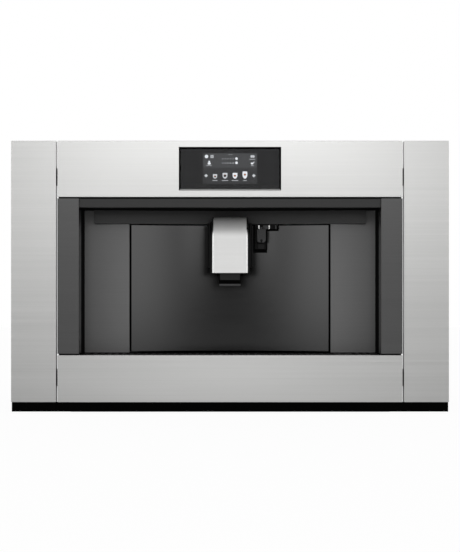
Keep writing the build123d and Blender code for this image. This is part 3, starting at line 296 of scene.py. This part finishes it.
FINISHES = {
    steel_fascia: "side_trim_left side_trim_right control_panel drawer_front",
    graphite_column: "niche_column_left niche_column_right",
    graphite_back: "niche_back_left niche_back_right",
    graphite_door: "door_skin",
    black_powder: "front_carrier trim_brackets cup_grid brew_motor door_hinge_brackets",
    black_strip: "base_strip",
    black_liner: "niche_liner",
    black_gloss: "power_switch",
    bar_plastic: "niche_top_bar",
    hood_plastic: "lamp_hood",
    spout_plastic: "spout_guide spout_carriage steam_connector service_door",
    outlet_plastic: "coffee_outlet",
    black_plastic: "drip_tray grounds_container hopper_lid grind_knob tank_flap tank_dock mains_inlet"
    " brew_chamber display_module",
    grey_plastic: "hot_water_spout",
    zinc_sheet: "mounting_base floor_pan side_panel_left side_panel_right rear_panel top_cover",
    zinc_plate: "outer_rails middle_rails inner_rails case_screws grinder_motor brew_frame",
    cast_metal: "grinder_body",
    brass: "coffee_boiler",
    steel_turned: "steam_boiler cone_burr lead_screw",
    clear_tank: "water_tank",
    tinted_hopper: "bean_hopper",
    silicone: "water_hoses",
    nylon: "water_pump",
    board_green: "power_board",
    float_red: "float",
    lens: "cup_lamps",
}
EDGES = {
    0.7: "side_trim_left side_trim_right drawer_front",
    0.5: "control_panel base_strip niche_column_left niche_column_right niche_top_bar lamp_hood coffee_outlet",
    0.3: "steam_connector hot_water_spout",
}
WELD = 0.01  # corners of one solid that lie nearer than this are one corner
CAD_CREASE = 40  # degrees by which an edge of the solids turns before it is broken
CREASE = 35  # the same for the scene's own pieces


def break_edges(piece, width, crease):
    """Rounds the edges of a piece that turn by more than crease, in degrees."""
    edge = piece.modifiers.new("edge", "BEVEL")
    edge.width = width * MM
    edge.segments = 2
    edge.limit_method = "ANGLE"
    edge.angle_limit = math.radians(crease)


def dress(name, material, edge_width):
    """Gives a CAD node its material, welds its facets and breaks its sharp edges by edge_width."""
    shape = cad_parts[name]
    shape.data.materials.clear()
    shape.data.materials.append(material)
    weld = shape.modifiers.new("weld", "WELD")
    weld.merge_threshold = WELD * MM
    if edge_width:
        break_edges(shape, edge_width, CAD_CREASE)


edge_widths = {name: width for width, names in EDGES.items() for name in names.split()}
for finish, names in FINISHES.items():
    for name in names.split():
        dress(name, finish, edge_widths.get(name, 0.0))


# ---------------------------------------------------------------- painted shade: matt black on the bevel round the display's window
WINDOW_HALF = 89.5
WINDOW_Z = (384.0, 462.0)
WINDOW_Y = (FRONT + 0.05, FRONT + 3.3)


def paint_shade_on_window_bevel():
    """Paints shade into the control panel's window: the faces from just behind its front to the pane that don't
    face up, where shade falls, are given matt black.
    """
    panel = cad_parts["control_panel"].data
    # painted shade: this matt black stands for the shade inside the window's bevel
    panel.materials.append(black_strip)
    for face in panel.polygons:
        x, y, z = (length / MM for length in face.center)
        inside = abs(x) < WINDOW_HALF and WINDOW_Y[0] < y < WINDOW_Y[1] and WINDOW_Z[0] < z < WINDOW_Z[1]
        # faces that face up catch the light and keep the steel; the others get the painted shade
        if inside and face.normal.z < 0.5:
            face.material_index = 1


paint_shade_on_window_bevel()


# ---------------------------------------------------------------- making the scene's own pieces
def new_piece(name, mesh, material, body):
    """Makes a mesh of the scene's own into a piece that rides on a body."""
    bmesh.ops.recalc_face_normals(mesh, faces=mesh.faces)
    data = bpy.data.meshes.new(name)
    mesh.to_mesh(data)
    mesh.free()
    made = bpy.data.objects.new(name, data)
    bpy.context.scene.collection.objects.link(made)
    data.materials.append(material)
    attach(made, body)
    return made


def shade_smooth(piece, crease):
    """Shades a piece smooth, except over edges that turn by more than crease, in degrees."""
    for face in piece.data.polygons:
        face.use_smooth = True
    piece.data.set_sharp_from_angle(angle=math.radians(crease))


def soft_edges(piece, width):
    """Breaks a piece's sharp edges and shades the rest smooth."""
    break_edges(piece, width, CREASE)
    shade_smooth(piece, CREASE)


def slab(mesh, outline, y0, y1):
    """Adds a flat shape that faces the front, by its outline in x and z and its depth from y0 to y1."""
    front = [mesh.verts.new((x * MM, y0 * MM, z * MM)) for x, z in outline]
    back = [mesh.verts.new((x * MM, y1 * MM, z * MM)) for x, z in outline]
    mesh.faces.new(front)
    mesh.faces.new(back[::-1])
    for i, corner in enumerate(front):
        j = (i + 1) % len(front)
        mesh.faces.new((corner, back[i], back[j], front[j]))


def bridge(mesh, rings):
    """Joins each ring of corners to the next with a band of faces."""
    for low, high in zip(rings, rings[1:]):
        for i, corner in enumerate(low):
            j = (i + 1) % len(low)
            mesh.faces.new((corner, low[j], high[j], high[i]))


def oblong(x, z, half_x, half_z):
    """The outline of a rectangle round a middle."""
    return [(x - half_x, z - half_z), (x + half_x, z - half_z), (x + half_x, z + half_z), (x - half_x, z + half_z)]


def oval(x, z, half_x, half_z, count=20):
    """The outline of an oval round a middle. A count of 4 makes it a diamond."""
    turns = [2 * math.pi * i / count for i in range(count)]
    return [(x + half_x * math.cos(turn), z + half_z * math.sin(turn)) for turn in turns]


def cup_outline(x, rim_z, foot_z, half):
    """A cup from the side: straight at the rim, whose corners are cut, and round at the foot."""
    cut = 0.8
    turns = [math.pi * i / 12 for i in range(13)]
    bowl = (rim_z - foot_z) * 0.6
    low = [(x + half * math.cos(turn), foot_z + bowl - bowl * math.sin(turn)) for turn in turns]
    left, right = x - half, x + half
    return low + [(left, rim_z - cut), (left + cut, rim_z), (right - cut, rim_z), (right, rim_z - cut)]


# ---------------------------------------------------------------- the lit display behind its glass
GLASS_FRONT = FRONT + 3.2
GLASS_BACK = GLASS_FRONT + 1.4
FIELD_BACK = GLASS_FRONT + 1.9
FIELD_FRONT = FIELD_BACK - 0.1
FIELD_HALF = 46.8
FIELDS = {"lower": (397.2, 425.0, 0.026), "upper": (425.0, 450.3, 0.05)}  # foot, top and light
DRINK_FOOT = 406.2  # foot of the row of cups that stand for the drinks
TOP_ROW = 444.7


def symbols():
    """The screen's generic symbols, by set: their light, how far they rise, their tint and their outlines."""
    bright = [oval(-40.8, TOP_ROW, 3.0, 3.0), oval(11.3, 440.9, 2.3, 2.3), oval(11.3, 433.7, 2.3, 2.3)]
    bright += [oval(-36.1, 435.7, 1.6, 1.7), cup_outline(-36.1, 434.2, 430.6, 2.7)[::-1]]
    bright += [cup_outline(8.7, 416.2, DRINK_FOOT, 4.2), cup_outline(25.9, 418.6, DRINK_FOOT, 4.2)]
    bright += [cup_outline(38.2, 434.0, 430.9, 2.2), [(39.5, 432.5), (40.6, 432.3), (42.6, 435.6), (41.6, 436.0)]]
    middle = [oval(-41.5, 411.4, 3.1, 3.1, 4), oval(41.3, 411.4, 3.1, 3.1, 4)]
    middle += [cup_outline(-26.0, 414.0, DRINK_FOOT, 3.7), cup_outline(-8.7, 416.2, DRINK_FOOT, 4.3)]
    middle += [oval(37.6, TOP_ROW, 2.2, 2.2), oval(40.6, TOP_ROW, 2.2, 2.2)]
    middle += [oblong(-31.2, TOP_ROW + step, 2.7, 0.6) for step in (-1.9, 0, 1.9)]
    faint = [oblong(x, 403.0, half, 0.7) for x, half in ((-26.2, 4.4), (-8.7, 5.4), (8.7, 5.6), (25.8, 3.2))]
    faint += [oblong(-36.6, 429.2, 4.8, 0.6), oblong(38.7, 439.7, 4.9, 0.6), oblong(38.8, 428.9, 2.4, 0.6)]
    faint += [oblong(-1.1, 448.0, 1.2, 0.5), oblong(2.6, 448.0, 1.1, 0.5)]
    for i in range(5):
        x = -12.6 + 4.5 * i
        faint.append([(x - 1.1, 439.4), (x - 0.1, 439.4), (x + 1.1, 442.0), (x + 0.1, 442.0)])
        faint.append(oval(x, 433.2, 1.2, 0.7 + 0.15 * i, 12))
    black_coffee = [oval(-26.0, 409.4, 2.0, 0.9), oval(-8.7, 411.2, 2.4, 2.2)]
    white_coffee = [oval(-26.0, 410.6, 1.7, 0.8), oval(-8.7, 412.9, 1.3, 0.6)]
    white_coffee += [oval(8.5, 411.2, 2.1, 1.7), oval(25.8, 413.2, 1.9, 1.9)]
    return {
        "bright": (0.85, 0.2, "#FFFFFF", bright),
        "middle": (0.6, 0.2, "#FFFFFF", middle),
        "faint": (0.4, 0.2, "#FFFFFF", faint),
        "black_coffee": (0.04, 0.25, "#5A3A26", black_coffee),
        "white_coffee": (0.6, 0.3, "#C06A30", white_coffee),
    }


def display_glass_pane():
    """The smoked pane, standing in the bevelled window."""
    low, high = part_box("display_glass")
    middle_z, half_z = (low[2] + high[2]) / 2 / MM, (high[2] - low[2]) / 2 / MM
    mesh = bmesh.new()
    slab(mesh, oblong(0, middle_z, high[0] / MM, half_z), GLASS_FRONT, GLASS_BACK)
    pane = new_piece("display_pane", mesh, smoked_glass, "machine")
    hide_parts("display_glass")


def display_screen():
    """The screen's lit field, a lighter band over a darker one, and the symbols raised on it."""
    for name, (foot, top, level) in FIELDS.items():
        mesh = bmesh.new()
        slab(mesh, oblong(0, (foot + top) / 2, FIELD_HALF, (top - foot) / 2), FIELD_FRONT, FIELD_BACK)
        new_piece("display_field_" + name, mesh, screen_light("liquid_crystal_" + name, level), "machine")
    for name, (level, rise, tint, outlines) in symbols().items():
        mesh = bmesh.new()
        for outline in outlines:
            slab(mesh, outline, FIELD_FRONT - rise, FIELD_FRONT)
        new_piece("display_symbols_" + name, mesh, screen_light("liquid_crystal_" + name, level, tint), "machine")


# ---------------------------------------------------------------- the spout: its cover and its outlet
COVER_HALF = 32.25
COVER_Y0 = -154.0
COVER_FOOT, COVER_TOP = 243.0, 343.0
COVER_BEND = 41.0  # radius of the bend over the top
COVER_REACH = 34.7  # how far back the bend runs
COVER_SHEET = 1.2
COVER_FLANGE = 8.0
COVER_CORNER = 3.0
OUTLET_HALF = 18.0
OUTLET_Y = (-149.0, -122.0)


def cover_section():
    """One round of the cover's channel, as x and depth: outside from right to left, then back inside."""
    turns = [math.pi / 2 * i / 5 for i in range(6)]
    edge, within = COVER_HALF - COVER_CORNER, COVER_CORNER - COVER_SHEET
    outer = [(COVER_HALF, COVER_FLANGE)]
    outer += [(edge + COVER_CORNER * math.cos(t), COVER_CORNER - COVER_CORNER * math.sin(t)) for t in turns]
    inner = [(edge + within * math.cos(t), COVER_CORNER - within * math.sin(t)) for t in reversed(turns)]
    inner += [(COVER_HALF - COVER_SHEET, COVER_FLANGE)]
    section = outer + [(-x, depth) for x, depth in reversed(outer)]
    return section + [(-x, depth) for x, depth in reversed(inner)] + inner


def spout_cover():
    """The spout's brushed cover: a channel folded from sheet that runs up and bends back over the top."""
    section = cover_section()
    bend_z = COVER_TOP - COVER_BEND
    last = math.acos((COVER_BEND - COVER_REACH) / COVER_BEND)
    stations = [(0.0, z) for z in (COVER_FOOT, COVER_FOOT + 0.4, bend_z - 1.0)]
    stations += [(last * i / 28, None) for i in range(29)]
    mesh = bmesh.new()
    rings = []
    for turn, z in stations:
        ring = []
        for x, depth in section:
            reach = COVER_BEND - depth
            y = COVER_Y0 + COVER_BEND - reach * math.cos(turn)
            height = z if z is not None else bend_z + reach * math.sin(turn)
            ring.append(mesh.verts.new((x * MM, min(y, COVER_Y0 + COVER_REACH) * MM, height * MM)))
        rings.append(ring)
    bridge(mesh, rings)
    count = len(section)
    for ring in (rings[0], rings[-1]):
        for i in range(count // 2 - 1):
            mesh.faces.new((ring[i], ring[i + 1], ring[count - 2 - i], ring[count - 1 - i]))
    cover = new_piece("spout_cover_folded", mesh, steel_spout, "spout")
    cover.data.materials.append(steel_folds)
    for face in cover.data.polygons:
        if 0.1 < abs(face.normal.x) < 0.99:
            face.material_index = 1
    shade_smooth(cover, CREASE)
    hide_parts("spout_cover")


def coffee_outlet():
    """The outlet under the spout: a dark block with a black band, black shoulders and a lighter lip at its foot."""
    front = OUTLET_Y[0]
    mesh = bmesh.new()
    slab(mesh, oblong(0, 230.5, OUTLET_HALF, 11.5), *OUTLET_Y)
    outlet = new_piece("coffee_outlet_block", mesh, outlet_plastic, "spout")
    soft_edges(outlet, 0.3)
    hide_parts("coffee_outlet")
    mesh = bmesh.new()
    slab(mesh, oblong(0, 227.3, OUTLET_HALF + 0.3, 3.2), front - 0.4, front + 0.5)
    for side in (-1, 1):
        slab(mesh, oblong(side * (OUTLET_HALF + 0.4), 232.5, 0.5, 8.5), front - 0.6, front + 11.0)
        slab(mesh, oblong(side * (OUTLET_HALF + 2.2), 240.2, 3.3, 1.7), front + 2.0, front + 10.0)
    soft_edges(new_piece("coffee_outlet_band", mesh, black_strip, "spout"), 0.15)
    mesh = bmesh.new()
    slab(mesh, oblong(0, 221.9, OUTLET_HALF + 0.8, 1.3), front - 1.4, front + 0.5)
    soft_edges(new_piece("coffee_outlet_lip", mesh, grey_plastic, "spout"), 0.4)


# ---------------------------------------------------------------- hot water and steam
NOZZLE_X = 56.6
NOZZLE_Z = (298.3, 322.5)
NOZZLE_HALF = 7.9
NOZZLE_Y = (-94.6, -80.3)
NOZZLE_CORNER = 5.4
RIB_STEPS = (-2, -1, 0, 1, 2)
RIB_PITCH, RIB_HALF = 3.0, 1.0
RIB_RISE = 0.7
RIB_FOOT, SIDE_RIB_FOOT = 7.6, 5.6  # over the spout's own foot
SHANK_RADIUS, SHANK_LENGTH, SHANK_RAISED = 4.0, 12.0, 5.5
SUNK = 0.3  # how deep a form on the spout's front is let into it
CONTACT_Z = (323.2, 329.8)
CONTACT_Y = (-84.3, -79.9)


def nozzle_outline():
    """The spout from the front: flat at the top, with its lower corners rounded."""
    low, high = NOZZLE_Z
    centre = NOZZLE_HALF - NOZZLE_CORNER
    quarter = [math.pi / 2 * i / 6 for i in range(7)]
    outline = []
    for side, turns in ((-1, quarter), (1, quarter[::-1])):
        for turn in turns:
            x = NOZZLE_X + side * (centre + NOZZLE_CORNER * math.cos(turn))
            outline.append((x, low + NOZZLE_CORNER - NOZZLE_CORNER * math.sin(turn)))
    return outline + [(NOZZLE_X + NOZZLE_HALF, high), (NOZZLE_X - NOZZLE_HALF, high)]


def hot_water_spout():
    """The grey plug-in spout: ribbed upright, with a neck on top, the shank it plugs in by, and its bore."""
    low, high = NOZZLE_Z
    front, back = NOZZLE_Y
    mesh = bmesh.new()
    slab(mesh, nozzle_outline(), front, back)
    slab(mesh, oblong(NOZZLE_X, high + 1.7, 1.8, 1.9), front + 2, back)
    shank = oval(NOZZLE_X, (low + high) / 2 + SHANK_RAISED, SHANK_RADIUS, SHANK_RADIUS, 32)
    slab(mesh, shank, back - 0.2, back + SHANK_LENGTH)
    for step in RIB_STEPS:
        foot = low + (SIDE_RIB_FOOT if abs(step) == max(RIB_STEPS) else RIB_FOOT)
        rib = oblong(NOZZLE_X + RIB_PITCH * step, (foot + high) / 2 - 0.3, RIB_HALF, (high - foot) / 2)
        slab(mesh, rib, front - RIB_RISE, front + SUNK)
    spout = new_piece("hot_water_spout_ribbed", mesh, grey_plastic, "water_spout")
    soft_edges(spout, 0.25)
    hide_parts("hot_water_spout")
    mesh = bmesh.new()
    slab(mesh, oval(NOZZLE_X, low + 3.6, 2.3, 2.3), front - 0.1, front + SUNK)
    slab(mesh, oblong(NOZZLE_X, low + 1.6, 1.2, 1.5), front - 0.1, front + SUNK)
    new_piece("hot_water_spout_bore", mesh, spout_plastic, "water_spout")


def steam_contacts():
    """Plated tabs, the clip between them and the face of the catch, on the front of the steam connector."""
    middle, half = sum(CONTACT_Z) / 2, (CONTACT_Z[1] - CONTACT_Z[0]) / 2
    mesh = bmesh.new()
    for x in (52.3, 70.8):
        slab(mesh, oblong(x, middle, 1.3, half), *CONTACT_Y)
    soft_edges(new_piece("steam_contacts", mesh, nickel, "machine"), 0.2)
    mesh = bmesh.new()
    slab(mesh, oblong(82.8, middle, 1.2, half), *CONTACT_Y)
    slab(mesh, oblong(64.3, middle, 4.6, half), CONTACT_Y[0] + 1, CONTACT_Y[1])
    soft_edges(new_piece("steam_clip", mesh, grey_plastic, "machine"), 0.1)
    mesh = bmesh.new()
    slab(mesh, oblong(56.2, 291.5, 5.4, 4.4), -83.3, -82.9)
    soft_edges(new_piece("steam_catch_face", mesh, outlet_plastic, "machine"), 0.1)


# ---------------------------------------------------------------- round the door
LINER_BACK = -84.5  # y where the niche's liner ends at the door
LINER_HALF = 264.5
FLOOR_MIDDLE, FLOOR_HALF_SHEET = 97.25, 0.75
FLOOR_BACK = -8.0
FLOOR_SLOTS = (-60.0, -30.0)  # y from and to which the drain slots run
SLOT_STEP, SLOT_COUNT, SLOT_INSET = 40, 8, 4


def door_seals():
    """Black seals at the door's edges: a flange behind its free edge, and a strip on its hinged edge."""
    mesh = bmesh.new()
    slab(mesh, oblong(188, 214.2, 2, 117.7), LINER_BACK, -82.1)
    slab(mesh, oblong(183, 214.2, 7, 117.7), -83.1, -82.1)
    soft_edges(new_piece("door_seal_right", mesh, rubber, "machine"), 0.2)
    mesh = bmesh.new()
    slab(mesh, oblong(-179.5, 216.2, 3.5, 113.4), -85.0, -84.0)
    soft_edges(new_piece("door_seal_left", mesh, rubber, "door"), 0.2)


def compartment_floor():
    """The black sheet behind the door's foot, over the drip tray, with drain slots and an upstand at the rear."""
    slots = [SLOT_STEP * (i - (SLOT_COUNT - 1) / 2) for i in range(SLOT_COUNT)]
    edges = [-LINER_HALF, *slots, LINER_HALF]
    mesh = bmesh.new()
    for x0, x1 in zip(edges, edges[1:]):
        middle, half = (x0 + x1) / 2, (x1 - x0) / 2
        inset = 0 if x1 - x0 > SLOT_STEP else SLOT_INSET
        strips = ((LINER_BACK, FLOOR_SLOTS[0], 0), (FLOOR_SLOTS[1], FLOOR_BACK, 0), (*FLOOR_SLOTS, inset))
        for y0, y1, narrower in strips:
            slab(mesh, oblong(middle, FLOOR_MIDDLE, half - narrower, FLOOR_HALF_SHEET), y0, y1)
    slab(mesh, oblong(0, 101.9, LINER_HALF, 4.2), FLOOR_BACK - 2, FLOOR_BACK)
    new_piece("compartment_floor", mesh, black_liner, "machine")


# ---------------------------------------------------------------- the brew unit's screw
SCREW_Y = 106.0
SCREW_Z = (105.0, 304.0)
THREAD_Z = (111.4, 296.6)
CREST, ROOT, JOURNAL = 3.98, 3.2, 3.0  # radii
STARTS = 3
START_PITCH = 3.0
THREAD_ROWS, ROW_STEP = 247, 0.75
SCREW_SIDES = 24


def lead_screw():
    """The brew unit's screw: three thread starts, 3 mm apart, between two plain journals."""
    low, high = THREAD_Z
    rows = [(SCREW_Z[0], False), (low, False)] + [(low + ROW_STEP * i, True) for i in range(THREAD_ROWS)]
    rows += [(high, False), (SCREW_Z[1], False)]
    mesh = bmesh.new()
    rings = []
    for z, threaded in rows:
        ring = []
        for i in range(SCREW_SIDES):
            turn = 2 * math.pi * i / SCREW_SIDES
            radius = JOURNAL
            if threaded:
                phase = ((z - low) / START_PITCH - STARTS * i / SCREW_SIDES) % 1.0
                radius = ROOT + (CREST - ROOT) * min(1.0, max(0.0, 1.5 - 4 * abs(phase - 0.5)))
            x, y = radius * math.cos(turn), SCREW_Y + radius * math.sin(turn)
            ring.append(mesh.verts.new((x * MM, y * MM, z * MM)))
        rings.append(ring)
    bridge(mesh, rings)
    mesh.faces.new(rings[0])
    mesh.faces.new(rings[-1])
    screw = new_piece("lead_screw_threaded", mesh, steel_turned, "screw")
    shade_smooth(screw, CAD_CREASE)
    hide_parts("lead_screw")


display_glass_pane()
display_screen()
spout_cover()
lead_screw()
hot_water_spout()
steam_contacts()
coffee_outlet()
door_seals()
compartment_floor()


# ---------------------------------------------------------------- camera
EYE_DISTANCE = 2700.0  # from the steel fronts
EYE_HEIGHT = 212.9
FOCAL_PIXELS = 1558.0
IMAGE_HEIGHT = 552.0
SHIFT_PIXELS = 14.0
SENSOR = 36.0


def place_camera():
    """The photograph's camera: level and square to the front, with its lens shifted up."""
    data = bpy.data.cameras.new("camera")
    camera = bpy.data.objects.new("camera", data)
    bpy.context.scene.collection.objects.link(camera)
    bpy.context.scene.camera = camera
    camera.location = (0, (FRONT - EYE_DISTANCE) * MM, EYE_HEIGHT * MM)
    camera.rotation_euler = (math.radians(90), 0, 0)
    data.sensor_width = SENSOR
    data.lens = SENSOR * FOCAL_PIXELS / IMAGE_HEIGHT
    data.shift_y = SHIFT_PIXELS / IMAGE_HEIGHT


# ---------------------------------------------------------------- studio, in metres
SOFTBOXES = {  # place, aim, size, watts
    "key_over_camera": ((0.0, -3.0, 1.08), (0, 0, 0.35), (1.0, 0.6), 7.8),
    "upper_left": ((-0.5, -3.0, 0.55), (0, 0, 0.25), (0.4, 0.5), 1.2),
    "upper_right": ((0.5, -3.0, 0.55), (0, 0, 0.25), (0.4, 0.5), 1.2),
}
ROOM, WALLS = 0.46, 2.95  # light that the fronts mirror: straight behind the camera, and to both sides of it
ROOM_TO_WALLS = (0.12, 0.5)  # sideways part of a direction over which the one turns into the other
ROOM_ENDS = (-0.78, -0.62)  # forward part of a direction over which both turn into plain white
AMBIENT = 0.8
FLOOR_HALF = 6
FLOOR_NEAR, FLOOR_FAR = 2.1, 0.38  # light of the mirrored floor in the pool before the machine, and outside it
POOL_Y, POOL_RADII = -1.1, (0.8, 1.5)
SIDE_SHEEN, SIDE_SHEEN_X = 1.8, (1.2, 2.2)  # what the mirrored floor gains towards the walls, and where
FLOOR_GLOW = 0.95  # share of its own light in what is seen of the floor; the rest takes shadows


def softbox(name, place, aim, size, watts):
    """A square-cornered studio lamp that points at aim."""
    data = bpy.data.lights.new(name, "AREA")
    data.shape = "RECTANGLE"
    data.size, data.size_y = size
    data.energy = watts
    lamp = bpy.data.objects.new(name, data)
    bpy.context.scene.collection.objects.link(lamp)
    lamp.location = place
    lamp.rotation_euler = (Vector(aim) - Vector(place)).to_track_quat("-Z", "Y").to_euler()


def ray_kinds(tree):
    """Whether a ray sees a thing plainly, also through glass, and whether it sees it mirrored."""
    path = add(tree, "ShaderNodeLightPath").outputs
    return maths(tree, "MAXIMUM", path["Is Camera Ray"], path["Is Transmission Ray"]), path["Is Glossy Ray"]


def coordinates(tree, kind):
    """The place of a point, or for the world its direction, and the two parts of it that lie level."""
    place = add(tree, "ShaderNodeTexCoord").outputs[kind]
    axes = add(tree, "ShaderNodeSeparateXYZ", [("Vector", place)]).outputs
    return place, axes["X"], axes["Y"]


def studio_world():
    """Plain white where it is seen, even light for what is matt, and a room with bright walls in reflections."""
    world = bpy.data.worlds.new("studio")
    bpy.context.scene.world = world
    world.use_nodes = True
    tree = world.node_tree
    background = tree.nodes["Background"]
    background.inputs["Strength"].default_value = 1.0
    _, across, forward = coordinates(tree, "Generated")
    sideways = maths(tree, "ABSOLUTE", across)
    beside = ranged(tree, sideways, *ROOM_TO_WALLS, interpolation_type="SMOOTHSTEP")
    walls = mix_colour(tree, beside, grey(ROOM), grey(WALLS))
    room = mix_colour(tree, ranged(tree, forward, *ROOM_ENDS), walls, grey(1.0))
    seen, mirrored = ray_kinds(tree)
    around = mix_colour(tree, mirrored, grey(AMBIENT), room)
    tree.links.new(mix_colour(tree, seen, around, grey(1.0)), background.inputs["Color"])


def floor_material():
    """Seamless white background paper, matt. Where it is seen or mirrored it mostly gives off its own light:
    white to the eye, and in reflections a bright pool before the machine that fades, and rises at the walls."""
    paint, tree, shader = new_material("floor_white_paper", Base_Color=grey(0.8), Roughness=0.9)
    place, across, _ = coordinates(tree, "Object")
    wide, deep = POOL_RADII
    scaled = {"Location": (0, -POOL_Y / deep, 0), "Scale": (1 / wide, 1 / deep, 1)}
    pool = add(tree, "ShaderNodeMapping", [("Vector", place)], values=scaled).outputs["Vector"]
    near = add(tree, "ShaderNodeTexGradient", [("Vector", pool)], gradient_type="QUADRATIC_SPHERE").outputs["Fac"]
    sheen = ranged(tree, near, 0.0, 1.0, FLOOR_FAR, FLOOR_NEAR)
    by_walls = ranged(tree, maths(tree, "ABSOLUTE", across), *SIDE_SHEEN_X, 0.0, SIDE_SHEEN)
    seen, mirrored = ray_kinds(tree)
    links = [("Factor", seen), ("A", maths(tree, "ADD", sheen, by_walls))]
    light = add(tree, "ShaderNodeMix", links, data_type="FLOAT", values={"B": 1.0}).outputs["Result"]
    glow = add(tree, "ShaderNodeEmission", [("Strength", light)], values={"Color": grey(1.0)}).outputs["Emission"]
    share = maths(tree, "MULTIPLY", maths(tree, "MAXIMUM", seen, mirrored), FLOOR_GLOW)
    mixed = add(tree, "ShaderNodeMixShader", [(0, share), (1, shader.outputs["BSDF"]), (2, glow)])
    tree.links.new(mixed.outputs["Shader"], tree.nodes["Material Output"].inputs["Surface"])
    return paint


def studio_floor():
    """The floor that the machine stands on."""
    near, far = -FLOOR_HALF, FLOOR_HALF
    data = bpy.data.meshes.new("floor")
    data.from_pydata([(near, near, 0), (far, near, 0), (far, far, 0), (near, far, 0)], [], [(0, 1, 2, 3)])
    data.materials.append(floor_material())
    floor = bpy.data.objects.new("floor", data)
    bpy.context.scene.collection.objects.link(floor)


place_camera()
for name, settings in SOFTBOXES.items():
    softbox(name, *settings)
studio_world()
studio_floor()

bpy.context.scene.view_settings.view_transform = "Standard"
